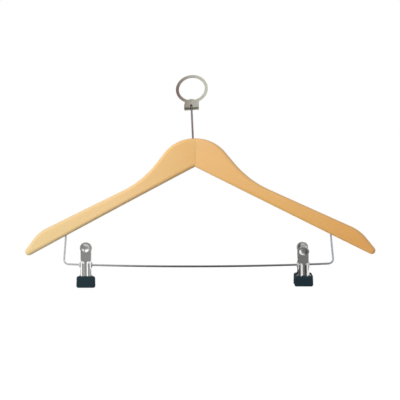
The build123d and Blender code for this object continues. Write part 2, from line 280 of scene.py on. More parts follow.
def inside(points: np.ndarray, loops: Sequence[np.ndarray]) -> np.ndarray:
    """Tests which points lie in the material between outlines.

    Args:
        points: The points, in two columns.
        loops: The outer outline and those of the holes.

    Returns:
        True for each point in the material.
    """
    odd = np.zeros(len(points), bool)
    for loop in loops:
        for (x0, y0), (x1, y1) in zip(loop, np.roll(loop, -1, axis=0)):
            if y0 == y1:
                continue
            spans = (points[:, 1] >= min(y0, y1)) & (points[:, 1] < max(y0, y1))
            cross = x0 + (points[:, 1] - y0) * (x1 - x0) / (y1 - y0)
            odd ^= spans & (points[:, 0] < cross)
    return odd


def mitred(loop: np.ndarray) -> np.ndarray:
    """Finds how each point of an outline moves for an offset of one out of the material.

    Args:
        loop: The outline's points.

    Returns:
        One step for each point.
    """
    ahead = np.roll(loop, -1, axis=0) - loop
    ahead /= np.linalg.norm(ahead, axis=1, keepdims=True)
    out = np.stack([ahead[:, 1], -ahead[:, 0]], axis=1)
    both = out + np.roll(out, 1, axis=0)
    return both / (1 + np.sum(out * np.roll(out, 1, axis=0), axis=1, keepdims=True))


@dataclass
class Plate:
    """Flat piece cut to an outline, its rims rounded over, with a fine net of faces on both sides."""

    outer: np.ndarray
    holes: list[np.ndarray] = field(default_factory=list)
    half: float = 1.0
    front_rim: float = 0.2
    back_rim: float = 0.2
    spacing: float = 1.0
    steps: int = 4
    crease: list[Point] = field(default_factory=list)
    nearest: float = 0.55

    def net(self) -> tuple[np.ndarray, Faces]:
        """Fills the inset outline with triangles.

        Returns:
            The points inside the outline, and triangles that count the outline's points first.
        """
        inset = max(self.front_rim, self.back_rim)
        loops = [loop - mitred(loop) * inset for loop in [self.outer, *self.holes]]
        rim = np.concatenate(loops)
        low, high = rim.min(axis=0), rim.max(axis=0)
        columns = np.arange(low[0] + self.spacing / 2, high[0], self.spacing)
        rows = np.arange(low[1] + self.spacing / 2, high[1], self.spacing)
        grid = np.stack(np.meshgrid(columns, rows), axis=-1).reshape(-1, 2)
        grid = grid[inside(grid, loops)]
        crease = np.array(self.crease).reshape(-1, 2)
        fixed = np.concatenate([rim, crease])
        near = np.array([np.min(np.hypot(*(fixed - point).T)) for point in grid])
        grid = grid[near > self.spacing * self.nearest]
        edges, start = [], 0
        for loop in loops:
            edges += [(start + index, start + (index + 1) % len(loop)) for index in range(len(loop))]
            start += len(loop)
        if len(crease):
            ends = [int(np.argmin(np.hypot(*(rim - crease[at]).T))) for at in (0, -1)]
            chain = [ends[0], *range(start, start + len(crease)), ends[1]]
            edges += list(zip(chain, chain[1:]))
        points = np.concatenate([rim, crease, grid])
        plane = [Vector(point) for point in points]
        _, _, triangles, origins, _, _ = delaunay_2d_cdt(plane, edges, [], 0, 1e-7, True)
        triangles = np.array([[origins[corner][0] for corner in triangle] for triangle in triangles])
        middles = points[triangles].mean(axis=1)
        one, two = (points[triangles[:, corner]] - points[triangles[:, 0]] for corner in (1, 2))
        real = np.abs(one[:, 0] * two[:, 1] - one[:, 1] * two[:, 0]) > SLIVER
        triangles = triangles[inside(middles, loops) & real]
        return points[len(rim):], [tuple(int(corner) for corner in triangle) for triangle in triangles]

    def shell(self) -> Shell:
        """Makes the closed surface, with its outline in X and Z and its thickness in Y.

        Returns:
            The surface.
        """
        loops = [self.outer, *self.holes]
        rim = np.concatenate(loops)
        out = np.concatenate([mitred(loop) for loop in loops])
        rings = []
        for side, round_over in ((-1, self.front_rim), (1, self.back_rim)):
            for step in range(self.steps + 1):
                angle = math.pi / 2 * (step if side < 0 else self.steps - step) / self.steps
                inset = round_over * (1 - math.sin(angle))
                rings.append((inset, side * (self.half - round_over * (1 - math.cos(angle)))))
        inner, triangles = self.net()
        count, last = len(rim), len(rings) - 1
        points = [np.insert(rim - out * inset, 1, depth, axis=1) for inset, depth in rings]
        points += [np.insert(inner, 1, depth, axis=1) for depth in (-self.half, self.half)]
        faces = []
        for low in range(0, last * count, count):
            high = low + count
            start = 0
            for loop in loops:
                for index in range(len(loop)):
                    one, two = start + index, start + (index + 1) % len(loop)
                    faces.append((low + one, low + two, high + two, high + one))
                start += len(loop)
        extra = last * count
        far = extra + len(inner)
        for corners in triangles:
            faces.append(tuple(c if c < count else extra + c for c in corners))
            faces.append(tuple(extra + c if c < count else far + c for c in reversed(corners)))
        return Shell(np.concatenate(points), faces)


def lathe(profile: Sequence[Point], segments: int, closed: bool) -> Shell:
    """Turns a profile about the upright axis.

    Args:
        profile: Radius and height of each point.
        segments: Steps round the axis.
        closed: Whether the profile is a ring of points, and doesn't end on the axis.

    Returns:
        The turned surface.
    """
    points: list[Triple] = []
    rings: list[list[int]] = []
    for radius, height in profile:
        if radius < TINY:
            rings.append([len(points)] * segments)
            points.append((0.0, 0.0, height))
            continue
        rings.append(list(range(len(points), len(points) + segments)))
        for step in range(segments):
            angle = FULL_TURN * step / segments
            points.append((radius * math.cos(angle), radius * math.sin(angle), height))
    pairs = list(zip(rings, rings[1:]))
    if closed:
        pairs.append((rings[-1], rings[0]))
    faces = []
    for low, high in pairs:
        for step in range(segments):
            ahead = (step + 1) % segments
            corners = dict.fromkeys((low[step], low[ahead], high[ahead], high[step]))
            if len(corners) > 2:
                faces.append(tuple(corners))
    return Shell(np.array(points), faces)


# Pieces
def lone(name: str, mesh: bpy.types.Mesh) -> bpy.types.Object:
    """Puts a mesh in the scene, at the origin.

    Args:
        name: The object's name.
        mesh: Its mesh.

    Returns:
        The object.
    """
    made = bpy.data.objects.new(name, mesh)
    bpy.context.scene.collection.objects.link(made)
    return made


def settled(base: bpy.types.Object) -> bpy.types.Mesh:
    """Turns an object with its modifiers into a plain mesh and removes the object.

    Args:
        base: The object.

    Returns:
        The plain mesh.
    """
    depsgraph = bpy.context.evaluated_depsgraph_get()
    seen = base.evaluated_get(depsgraph)
    mesh = bpy.data.meshes.new_from_object(seen, preserve_all_data_layers=True, depsgraph=depsgraph)
    bpy.data.objects.remove(base)
    return mesh


def grown(mesh: bpy.types.Mesh, tree: bpy.types.NodeTree, sizes: dict[str, Any]) -> bpy.types.Mesh:
    """Runs a geometry tree on a mesh.

    Args:
        mesh: What the tree starts from.
        tree: The tree.
        sizes: A value for each of its named inputs.

    Returns:
        The plain mesh that it makes.
    """
    base = lone("blank", mesh)
    modifier = base.modifiers.new(tree.name, "NODES")
    modifier.node_group = tree
    for item in tree.interface.items_tree:
        if item.item_type == "SOCKET" and item.in_out == "INPUT" and item.name in sizes:
            modifier[item.identifier] = sizes[item.name]
    return settled(base)


def parted(mesh: bpy.types.Mesh, tool: bpy.types.Mesh, cut: Cut) -> bpy.types.Mesh:
    """Cuts one solid with another.

    Args:
        mesh: The solid that is cut.
        tool: The solid that cuts it.
        cut: What is kept.

    Returns:
        What is left of the first.
    """
    blank, cutter = lone("blank", mesh.copy()), lone("cutter", tool)
    modifier = blank.modifiers.new("cut", "BOOLEAN")
    modifier.operation = cut.value
    modifier.solver = "EXACT"
    modifier.object = cutter
    left = settled(blank)
    bpy.data.objects.remove(cutter)
    return left


def finished(
    name: str,
    mesh: bpy.types.Mesh,
    material: bpy.types.Material,
    node: str,
    sharp: float = 35.0,
    weighted: bool = False,
) -> bpy.types.Object:
    """Gives a mesh its finish, puts it in place of one of the frame's own pieces and reports it.

    Args:
        name: The piece's name.
        mesh: Its final mesh.
        material: Its finish.
        node: The frame's piece that it stands for.
        sharp: Angle from which an edge stays crisp.
        weighted: Whether its large faces decide its shading.

    Returns:
        The piece.
    """
    mesh.materials.clear()
    mesh.materials.append(material)
    mesh.polygons.foreach_set("material_index", [0] * len(mesh.polygons))
    mesh.polygons.foreach_set("use_smooth", [True] * len(mesh.polygons))
    mesh.set_sharp_from_angle(angle=math.radians(sharp))
    mesh.update()
    piece = lone(name, mesh)
    if weighted:
        piece.modifiers.new("weighted normals", "WEIGHTED_NORMAL").keep_sharp = True
    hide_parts(node)
    log.info("%s: %d faces", name, len(mesh.polygons))
    return piece


# Node trees
@dataclass(frozen=True)
class Signal:
    """Output of a node, with the sums that start from it."""

    wiring: "Wiring"
    socket: Any

    def do(self, operation: str, *others: Any, clamp: bool = False) -> "Signal":
        """Works out one sum.

        Args:
            operation: The Math node's operation.
            others: Its operands after this one.
            clamp: Whether the result is kept from zero to one.

        Returns:
            The result.
        """
        values = dict(enumerate((self, *others)))
        return self.wiring.add("ShaderNodeMath", values, operation=operation, use_clamp=clamp)

    def __add__(self, other: Any) -> "Signal":
        """Sum of both."""
        return self.do("ADD", other)

    def __sub__(self, other: Any) -> "Signal":
        """This less the other."""
        return self.do("SUBTRACT", other)

    def __rsub__(self, other: float) -> "Signal":
        """A value less this."""
        return self.wiring.add("ShaderNodeMath", {0: other, 1: self}, operation="SUBTRACT")

    def __mul__(self, other: Any) -> "Signal":
        """Product of both."""
        return self.do("MULTIPLY", other)

    def __truediv__(self, other: Any) -> "Signal":
        """This divided by the other."""
        return self.do("DIVIDE", other)

    def __abs__(self) -> "Signal":
        """This without its sign."""
        return self.do("ABSOLUTE")

    def squared(self) -> "Signal":
        """This times itself."""
        return self.do("POWER", 2.0)

    def root(self) -> "Signal":
        """Square root of this, zero where it is negative."""
        return self.most(0.0).do("SQRT")

    def most(self, other: Any) -> "Signal":
        """The larger of both."""
        return self.do("MAXIMUM", other)

    def least(self, other: Any) -> "Signal":
        """The smaller of both."""
        return self.do("MINIMUM", other)

    def ramp(self, start: float, end: float, first: float = 0.0, last: float = 1.0) -> "Signal":
        """Runs from the first figure to the last while this goes from start to end."""
        return self.wiring.add("ShaderNodeMapRange", {"Value": self, 1: start, 2: end, 3: first, 4: last})


class Wiring:
    """Places nodes in a tree and feeds their sockets."""

    def __init__(self, tree: bpy.types.NodeTree) -> None:
        """Starts on a tree."""
        self.tree = tree

    def feed(self, node: Any, feeds: dict[Any, Any]) -> None:
        """Feeds a node's inputs.

        Args:
            node: The node.
            feeds: A signal or a value for inputs, by name or number. A colour has three values.
        """
        for key, value in feeds.items():
            socket = node.inputs[key]
            if isinstance(value, Signal):
                self.tree.links.new(value.socket, socket)
            else:
                socket.default_value = (*value, 1.0) if socket.type == "RGBA" else value

    def place(self, kind: str, feeds: dict[Any, Any], **settings: Any) -> Any:
        """Places a node.

        Args:
            kind: Its type.
            feeds: What goes to its inputs.
            settings: Its other settings.

        Returns:
            The node.
        """
        node = self.tree.nodes.new(kind)
        for name, value in settings.items():
            setattr(node, name, value)
        self.feed(node, feeds)
        return node

    def add(self, kind: str, feeds: dict[Any, Any], out: Any = 0, **settings: Any) -> Signal:
        """Output of a new node, by name or number."""
        return Signal(self, self.place(kind, feeds, **settings).outputs[out])

    def outlets(self, kind: str, feeds: dict[Any, Any], **settings: Any) -> dict[str, Signal]:
        """All outputs of a new node, by name."""
        return {socket.name: Signal(self, socket) for socket in self.place(kind, feeds, **settings).outputs}

    def split(self, vector: Signal) -> list[Signal]:
        """The three parts of a vector."""
        return list(self.outlets("ShaderNodeSeparateXYZ", {0: vector}).values())

    def join(self, x: Any, y: Any, z: Any) -> Signal:
        """Vector of three parts."""
        return self.add("ShaderNodeCombineXYZ", {0: x, 1: y, 2: z})

    def stretched(self, vector: Signal, scale: Any) -> Signal:
        """Vector whose parts are scaled one by one."""
        return self.add("ShaderNodeVectorMath", {0: vector, 1: scale}, operation="MULTIPLY")

    def noise(self, vector: Signal, scale: Any, detail: float, roughness: float = 0.5) -> Signal:
        """Soft noise.

        Args:
            vector: Where it is read.
            scale: Its scale, or one for each direction.
            detail: Its finer layers.
            roughness: How strong they are.

        Returns:
            Its value.
        """
        if not isinstance(scale, float):
            vector, scale = self.stretched(vector, scale), 1.0
        feeds = {"Vector": vector, "Scale": scale, "Detail": detail, "Roughness": roughness}
        return self.add("ShaderNodeTexNoise", feeds)

    def mix(self, share: Any, first: Any, second: Any, **settings: Any) -> Signal:
        """Colour between two."""
        return self.add("ShaderNodeMix", {0: share, 6: first, 7: second}, 2, data_type="RGBA", **settings)

    def ended(self, *results: Signal) -> bpy.types.NodeTree:
        """The tree, with its results put out in order."""
        self.place("NodeGroupOutput", dict(enumerate(results)))
        return self.tree


FLOAT, COLOR, VECTOR = "NodeSocketFloat", "NodeSocketColor", "NodeSocketVector"
GEOMETRY, MATERIAL, INTEGER = "NodeSocketGeometry", "NodeSocketMaterial", "NodeSocketInt"


def opened(kind: str, name: str, inputs: dict[str, str], outputs: dict[str, str]) -> tuple[Wiring, dict[str, Signal]]:
    """Starts a node tree with named inputs and outputs.

    Args:
        kind: The tree's type.
        name: The tree's name.
        inputs: Type of each input.
        outputs: Type of each output.

    Returns:
        The wiring, and its inputs as signals.
    """
    tree = bpy.data.node_groups.new(name, kind)
    for way_in_out, sockets in (("INPUT", inputs), ("OUTPUT", outputs)):
        for label, socket in sockets.items():
            tree.interface.new_socket(label, in_out=way_in_out, socket_type=socket)
    wiring = Wiring(tree)
    return wiring, wiring.outlets("NodeGroupInput", {})


class ShapeTrees:
    """Geometry trees for the shapes that follow a rule."""

    def __init__(self) -> None:
        """Builds each tree once."""
        self.contour = self.contour_sweep()
        self.wire = self.wire_sweep()
        self.coil = self.coil_spring()
        self.pressing = self.sheet_pressing()
        self.grooves = self.grip_grooves()

    @staticmethod
    def begun(name: str, sizes: Sequence[str], counts: Sequence[str] = ()) -> tuple[Wiring, dict[str, Signal]]:
        """Starts a geometry tree.

        Args:
            name: Its name.
            sizes: The names of its sizes.
            counts: The names of its whole numbers.

        Returns:
            The wiring, and its inputs as signals.
        """
        own = dict.fromkeys(sizes, FLOAT) | dict.fromkeys(counts, INTEGER)
        inputs = {"Geometry": GEOMETRY, **own, "Finish": MATERIAL}
        return opened("GeometryNodeTree", name, inputs, {"Geometry": GEOMETRY})

    @staticmethod
    def dressed(wiring: Wiring, given: dict[str, Signal], geometry: Signal) -> bpy.types.NodeTree:
        """Ends a tree with real geometry that has its finish."""
        real = wiring.add("GeometryNodeRealizeInstances", {0: geometry})
        return wiring.ended(wiring.add("GeometryNodeSetMaterial", {"Geometry": real, "Material": given["Finish"]}))

    @classmethod
    def moved(cls, wiring: Wiring, given: dict[str, Signal], how: str, vector: Signal) -> bpy.types.NodeTree:
        """Ends a tree that moves the points of its geometry, to a position or by an offset."""
        feeds = {"Geometry": given["Geometry"], how: vector}
        return cls.dressed(wiring, given, wiring.add("GeometryNodeSetPosition", feeds))

    @classmethod
    def drawn(cls, wiring: Wiring, given: dict[str, Signal], line: Signal) -> bpy.types.NodeTree:
        """Ends a tree that draws a round wire with flat ends.

        Args:
            wiring: The tree's wiring.
            given: Its inputs.
            line: The wire's middle line.

        Returns:
            The tree.
        """
        sizes = {"Resolution": given["Sides"], "Radius": given["Wire radius"]}
        ring = wiring.add("GeometryNodeCurvePrimitiveCircle", sizes)
        feeds = {"Curve": line, "Profile Curve": ring, "Fill Caps": True}
        return cls.dressed(wiring, given, wiring.add("GeometryNodeCurveToMesh", feeds))

    @classmethod
    def contour_sweep(cls) -> bpy.types.NodeTree:
        """Sweeps a flat body back on a large radius, to both sides of the joint.

        Returns:
            The tree.
        """
        wiring, given = cls.begun("contour sweep", ("Radius", "Kink"))
        radius, kink = given["Radius"], given["Kink"]
        x, y, z = wiring.split(wiring.add("GeometryNodeInputPosition", {}))
        along = abs(x) + radius * kink.do("SINE")
        back = radius * kink.do("COSINE") - ((radius - y).squared() - along.squared()).root()
        return cls.moved(wiring, given, "Position", wiring.join(x, back, z))

    @classmethod
    def wire_sweep(cls) -> bpy.types.NodeTree:
        """Draws a round wire along a line of edges."""
        wiring, given = cls.begun("wire sweep", ("Wire radius",), ("Sides",))
        return cls.drawn(wiring, given, wiring.add("GeometryNodeMeshToCurve", {"Mesh": given["Geometry"]}))

    @classmethod
    def coil_spring(cls) -> bpy.types.NodeTree:
        """Winds a torsion spring: a coil about X whose two ends run on as straight legs.

        Returns:
            The tree.
        """
        sizes = ("Coil radius", "Pitch", "Turns", "Start angle", "Leg", "Wire radius")
        wiring, given = cls.begun("coil spring", sizes, ("Points", "Sides"))
        coil, leg = given["Coil radius"], given["Leg"]
        turns, rise = given["Turns"] * FULL_TURN, given["Pitch"] / FULL_TURN
        pace = (coil.squared() + rise.squared()).root()
        rod = wiring.add("GeometryNodeCurvePrimitiveLine", {})
        rod = wiring.add("GeometryNodeResampleCurve", {"Curve": rod, "Count": given["Points"]})
        part = wiring.add("GeometryNodeSplineParameter", {}, "Factor")
        gone = part * (turns * pace + leg * 2.0) - leg
        wound = (gone / pace).least(turns).most(0.0)
        run = (gone - wound * pace) / pace
        angle = wound + given["Start angle"]
        sine, cosine = angle.do("SINE"), angle.do("COSINE")
        x = rise * (wound + run - turns * 0.5)
        y = (run * sine - cosine) * coil
        z = (run * cosine + sine) * -1.0 * coil
        place = wiring.join(x, y, z)
        line = wiring.add("GeometryNodeSetPosition", {"Geometry": rod, "Position": place})
        return cls.drawn(wiring, given, line)

    @classmethod
    def sheet_pressing(cls) -> bpy.types.NodeTree:
        """Presses two lengthwise ribs out of a flat sheet and a shallow dish into its thumb pad.

        Returns:
            The tree.
        """
        rib_sizes = ("Rib spacing", "Rib radius", "Rib height", "Rib top", "Rib blend")
        dish_sizes = ("Dish height", "Dish radius", "Dish depth", "Dish blend")
        wiring, given = cls.begun("sheet pressing", rib_sizes + dish_sizes)
        spacing, rib, top, ball = (given[name] for name in ("Rib spacing", "Rib radius", "Rib top", "Dish radius"))
        x, _, z = wiring.split(wiring.add("GeometryNodeInputPosition", {}))
        across = x.do("WRAP", spacing, 0.0) - spacing * 0.5
        above = (z + rib - top).most(0.0)
        crest = (rib.squared() - (across.squared() + above.squared())).root()
        press = (crest + given["Rib height"] - rib).do("SMOOTH_MAX", 0.0, given["Rib blend"])
        press = press * abs(x).do("LESS_THAN", spacing)
        bowl = (ball.squared() - (x.squared() + (z - given["Dish height"]).squared())).root()
        dish = (bowl + given["Dish depth"] - ball).do("SMOOTH_MAX", 0.0, given["Dish blend"])
        dish = dish * z.do("GREATER_THAN", top)
        return cls.moved(wiring, given, "Offset", wiring.join(0.0, dish - press, 0.0))

    @classmethod
    def grip_grooves(cls) -> bpy.types.NodeTree:
        """Sinks a row of round grooves into the gripping face of a boot.

        Returns:
            The tree.
        """
        sizes = ("Mouth", "Near face", "Lowest", "Pace", "Count", "Groove radius")
        wiring, given = cls.begun("grip grooves", sizes)
        _, y, z = wiring.split(wiring.add("GeometryNodeInputPosition", {}))
        along = (z - given["Lowest"]) / given["Pace"]
        near = along.do("ROUND").most(0.0).least(given["Count"] - 1.0)
        apart = (along - near) * given["Pace"]
        sunk = (given["Groove radius"].squared() - apart.squared()).root()
        on_face = abs(y - given["Mouth"]).do("LESS_THAN", given["Near face"])
        return cls.moved(wiring, given, "Offset", wiring.join(0.0, sunk * on_face * -1.0, 0.0))


# Finishes
class SurfaceGroups:
    """Shader groups that several finishes use. Their coordinates are in millimetres."""

    band_scale = (0.009, 0.16, 0.16)
    ring_scale = (0.004, 0.3, 0.3)
    fibre_scale = (0.05, 2.0, 2.0)
    fleck_scale = (0.42, 3.2, 3.2)
    fleck_edge = (0.6, 0.74)
    fleck_colour = (0.2, 0.09, 0.03)
    fleck_depth = 0.45
    broad_scale = 0.22
    fine_scale = 0.9
    tarnish_edge = (0.18, 0.42)
    upward_edge = (0.1, 0.95, 0.15, 1.0)
    cloud_scale = 0.6
    cloud_edge = (0.38, 0.7)

    def __init__(self) -> None:
        """Builds each group once."""
        self.grain = self.wood_grain()
        self.plate = self.plated_surface()
        # Shared ramp that the finishes use to paint light, shade and reflections along a piece.
        self.tone_and_painted_light = self.tone_and_painted_light_ramp()
        self.dust = self.settled_dust()

    @classmethod
    def wood_grain(cls) -> bpy.types.NodeTree:
        """Pale close grain along X, with the short flecks of beech.

        Returns:
            The group.
        """
        inputs = {"Vector": VECTOR, "Pale": COLOR, "Deep": COLOR, "Figure": FLOAT, "Flecks": FLOAT}
        wiring, given = opened("ShaderNodeTree", "beech grain", inputs, {"Color": COLOR, "Height": FLOAT})
        vector, deep = given["Vector"], given["Deep"]
        bands = wiring.noise(vector, cls.band_scale, 3.0, 0.55)
        waves = {"Scale": 0.55, "Distortion": 5.0, "Detail": 2.0, "Detail Scale": 0.6}
        waves["Vector"] = wiring.stretched(vector, cls.ring_scale)
        rings = wiring.add("ShaderNodeTexWave", waves, "Fac", bands_direction="Z", wave_profile="SIN")
        flecks = wiring.noise(vector, cls.fleck_scale, 1.5).ramp(*cls.fleck_edge)
        fibre = wiring.noise(vector, cls.fibre_scale, 4.0, 0.6)
        tone = bands * 0.6 + rings * 0.25 + fibre * 0.12 - 0.2
        body = wiring.mix(tone.do("MULTIPLY", given["Figure"], clamp=True), given["Pale"], deep)
        flecked = flecks.do("MULTIPLY", given["Flecks"], clamp=True)
        body = wiring.mix(flecked, body, wiring.mix(cls.fleck_depth, deep, cls.fleck_colour))
        return wiring.ended(body, fibre * 0.4 - flecks * 0.5)

    @staticmethod
    def tone_and_painted_light_ramp() -> bpy.types.NodeTree:
        """Ramp of colour along one direction, from one end through the middle to the other. The finishes use it to
        paint light, shade and reflections along a piece.

        Returns:
            The group.
        """
        inputs = {"Vector": VECTOR, "Along": VECTOR, "Middle": FLOAT, "Half length": FLOAT, "Ease": FLOAT}
        inputs |= {"First": COLOR, "Centre": COLOR, "Last": COLOR}
        wiring, given = opened("ShaderNodeTree", "tone and painted light ramp", inputs, {"Color": COLOR})
        both = {0: given["Vector"], 1: given["Along"]}
        run = wiring.add("ShaderNodeVectorMath", both, "Value", operation="DOT_PRODUCT")
        part = (run - given["Middle"]) / given["Half length"]
        share = abs(part).do("POWER", given["Ease"], clamp=True)
        shade = wiring.mix(share * part.do("LESS_THAN", 0.0), given["Centre"], given["First"])
        return wiring.ended(wiring.mix(share * part.do("GREATER_THAN", 0.0), shade, given["Last"]))

    @classmethod
    def plated_surface(cls) -> bpy.types.NodeTree:
        """Mottled tarnish and fine drawn lines of plated steel.

        Returns:
            The group.
        """
        inputs = {"Vector": VECTOR, "Bright": COLOR, "Tarnish": FLOAT, "Polish": FLOAT, "Line spacing": VECTOR}
        outputs = {"Color": COLOR, "Roughness": FLOAT, "Height": FLOAT}
        wiring, given = opened("ShaderNodeTree", "plated surface", inputs, outputs)
        broad = wiring.noise(given["Vector"], cls.broad_scale, 3.0)
        tarnish = (broad * wiring.noise(given["Vector"], cls.fine_scale, 1.0)).ramp(*cls.tarnish_edge)
        lines = wiring.noise(given["Vector"], given["Line spacing"], 2.0)
        kept = {0: given["Bright"], "Scale": 1.0 - tarnish * given["Tarnish"]}
        shade = wiring.add("ShaderNodeVectorMath", kept, operation="SCALE")
        rough = given["Polish"] + tarnish * 0.08 + lines * 0.05
        return wiring.ended(shade, rough, broad + lines * 0.05)

    @classmethod
    def settled_dust(cls) -> bpy.types.NodeTree:
        """Thin dust on faces that look up, broken by a soft noise.

        Returns:
            The group.
        """
        inputs = {"Vector": VECTOR, "Color": COLOR, "Dust": COLOR, "Amount": FLOAT}
        wiring, given = opened("ShaderNodeTree", "settled dust", inputs, {"Color": COLOR, "Mask": FLOAT})
        up = wiring.split(wiring.add("ShaderNodeNewGeometry", {}, "Normal"))[2].ramp(*cls.upward_edge)
        cloud = wiring.noise(given["Vector"], cls.cloud_scale, 4.0).ramp(*cls.cloud_edge)
        mask = (up * cloud).do("MULTIPLY", given["Amount"], clamp=True)
        return wiring.ended(wiring.mix(mask, given["Color"], given["Dust"]), mask)


@dataclass(frozen=True)
class Relief:
    """Relief too fine for the mesh: its height, the share of it that shows and its depth."""

    height: Signal
    strength: float
    depth: float


@dataclass(frozen=True)
class Finish:
    """Surface of a piece."""

    name: str

    @property
    def turn(self) -> float:
        """Angle of the pattern about Y."""
        return 0.0

    def surface(self, wiring: Wiring, groups: SurfaceGroups, place: Signal) -> tuple[dict[str, Any], Relief]:
        """Wires what is its own in a finish.

        Args:
            wiring: The material's wiring.
            groups: The shared shader groups.
            place: The place on the object, in millimetres.

        Returns:
            What goes to the shader's inputs, and the relief.
        """
        raise NotImplementedError

    def material(self, groups: SurfaceGroups) -> bpy.types.Material:
        """Builds the material.

        Args:
            groups: The shared shader groups.

        Returns:
            The material.
        """
        material = bpy.data.materials.new(self.name)
        material.use_nodes = True
        wiring = Wiring(material.node_tree)
        place = wiring.add("ShaderNodeTexCoord", {}, "Object")
        pattern = {"Vector": place, "Rotation": (0, math.radians(self.turn), 0), "Scale": (1 / MM,) * 3}
        feeds, relief = self.surface(wiring, groups, wiring.add("ShaderNodeMapping", pattern))
        bump = {"Strength": relief.strength, "Distance": relief.depth * MM, "Height": relief.height}
        feeds["Normal"] = wiring.add("ShaderNodeBump", bump)
        wiring.feed(material.node_tree.nodes["Principled BSDF"], feeds)
        return material


@dataclass(frozen=True)
class ToneAndPaintedLight:
    """Colour at the two ends and in the middle of what it covers. Where the three differ, the ramp is painted light:
    shade, highlights and reflections along the piece.
    """

    first: Triple
    centre: Triple
    last: Triple
    along: Triple = (1.0, 0.0, 0.0)
    middle: float = 0.0
    half_length: float = 150.0
    ease: float = 1.0

    @classmethod
    def even(cls, *shade: float) -> "ToneAndPaintedLight":
        """One colour all over."""
        return cls(shade, shade, shade)

    def shaded(self, wiring: Wiring, groups: SurfaceGroups, place: Signal) -> Signal:
        """Wires the colour, with any painted light, into a material.

        Args:
            wiring: The material's wiring.
            groups: The shared shader groups.
            place: The place on the object.

        Returns:
            The colour.
        """
        feeds = {"Vector": place, "Along": self.along, "Middle": self.middle, "Half length": self.half_length}
        feeds |= {"Ease": self.ease, "First": self.first, "Centre": self.centre, "Last": self.last}
        return wiring.add("ShaderNodeGroup", feeds, node_tree=groups.tone_and_painted_light)


@dataclass(frozen=True)
class PaintedLegHighlightTone(ToneAndPaintedLight):
    """Colour of a bent wire whose last leg, which stands up, gets a painted highlight paler than its run."""

    # Colour of the painted highlight on the upright leg, and the heights over which it fades in.
    leg: Triple = (0.5, 0.54, 0.62)
    foot: Point = (-221.0, -214.0)

    def shaded(self, wiring: Wiring, groups: SurfaceGroups, place: Signal) -> Signal:
        """Wires the colour, with its painted highlight, into a material.

        Args:
            wiring: The material's wiring.
            groups: The shared shader groups.
            place: The place on the object.

        Returns:
            The colour.
        """
        run = super().shaded(wiring, groups, place)
        x, _, z = wiring.split(place)
        # Painted highlight on the leg right of the middle, fading in with height.
        return wiring.mix(x.do("GREATER_THAN", self.middle) * z.ramp(*self.foot), run, self.leg)


@dataclass(frozen=True)
class WoodFinish(Finish):
    """Clear satin varnish on pale beech."""

    grain_angle: float
    pale: Triple
    deep: Triple
    # Tint along the arm: painted light, laying the varnish's sheen and the fall of shade over the grain.
    tone_and_painted_light: ToneAndPaintedLight
    figure: float = 0.7
    flecks: float = 0.2
    roughness: float = 0.42
    coat: float = 0.5
    coat_roughness: float = 0.3

    @property
    def turn(self) -> float:
        """Angle of the grain about Y."""
        return self.grain_angle

    def surface(self, wiring: Wiring, groups: SurfaceGroups, place: Signal) -> tuple[dict[str, Any], Relief]:
        """Wires the grain, the painted sheen and shade along the arm, and the varnish.

        Args:
            wiring: The material's wiring.
            groups: The shared shader groups.
            place: The place on the object.

        Returns:
            What goes to the shader's inputs, and the relief.
        """
        sizes = {"Pale": self.pale, "Deep": self.deep, "Figure": self.figure, "Flecks": self.flecks}
        grain = wiring.outlets("ShaderNodeGroup", {"Vector": place, **sizes}, node_tree=groups.grain)
        # Painted light: this tint lays sheen and shade along the arm.
        painted_light_tint = self.tone_and_painted_light.shaded(wiring, groups, place)
        feeds = {"Base Color": wiring.mix(1.0, grain["Color"], painted_light_tint, blend_type="MULTIPLY")}
        feeds |= {"Roughness": self.roughness, "Coat Weight": self.coat, "Coat Roughness": self.coat_roughness}
        return feeds, Relief(grain["Height"], 0.1, 0.01)


@dataclass(frozen=True)
class PlatedFinish(Finish):
    """Nickel or zinc plate on steel."""

    # Colour of the plate; where its ramp varies, it paints light and reflections along the piece.
    tone: ToneAndPaintedLight
    polish: float
    tarnish: float = 0.16
    lines: Triple = (0.3, 3.0, 3.0)
    relief: float = 0.006
    dust: float = 0.03
    dust_colour: Triple = (0.4, 0.38, 0.35)
    dust_roughness: float = 0.3

    def surface(self, wiring: Wiring, groups: SurfaceGroups, place: Signal) -> tuple[dict[str, Any], Relief]:
        """Wires the plate, with any painted light in its colour, and the dust on it.

        Args:
            wiring: The material's wiring.
            groups: The shared shader groups.
            place: The place on the object.

        Returns:
            What goes to the shader's inputs, and the relief.
        """
        feeds = {"Vector": place, "Bright": self.tone.shaded(wiring, groups, place), "Tarnish": self.tarnish}
        feeds |= {"Polish": self.polish, "Line spacing": self.lines}
        plate = wiring.outlets("ShaderNodeGroup", feeds, node_tree=groups.plate)
        feeds = {"Vector": place, "Color": plate["Color"], "Dust": self.dust_colour, "Amount": self.dust}
        dusty = wiring.outlets("ShaderNodeGroup", feeds, node_tree=groups.dust)
        rough = plate["Roughness"] + dusty["Mask"] * self.dust_roughness
        feeds = {"Base Color": dusty["Color"], "Roughness": rough, "Metallic": 1.0}
        return feeds, Relief(plate["Height"], 0.5, self.relief)


@dataclass(frozen=True)
class RubberFinish(Finish):
    """Matt moulded rubber."""

    shade: Triple = (0.010, 0.024, 0.033)
    smoothest: float = 0.53
    spread: float = 0.15
    specular: float = 0.18
    dust: float = 0.05
    dust_colour: Triple = (0.16, 0.17, 0.17)

    def surface(self, wiring: Wiring, groups: SurfaceGroups, place: Signal) -> tuple[dict[str, Any], Relief]:
        """Wires the moulded texture and the dust on it.

        Args:
            wiring: The material's wiring.
            groups: The shared shader groups.
            place: The place on the object.

        Returns:
            What goes to the shader's inputs, and the relief.
        """
        feeds = {"Vector": place, "Color": self.shade, "Dust": self.dust_colour, "Amount": self.dust}
        texture = wiring.noise(place, 5.0, 3.0)
        feeds = {
            "Base Color": wiring.add("ShaderNodeGroup", feeds, node_tree=groups.dust),
            "Roughness": texture * self.spread + self.smoothest,
            "Specular IOR Level": self.specular,
        }
        return feeds, Relief(texture, 0.2, 0.01)


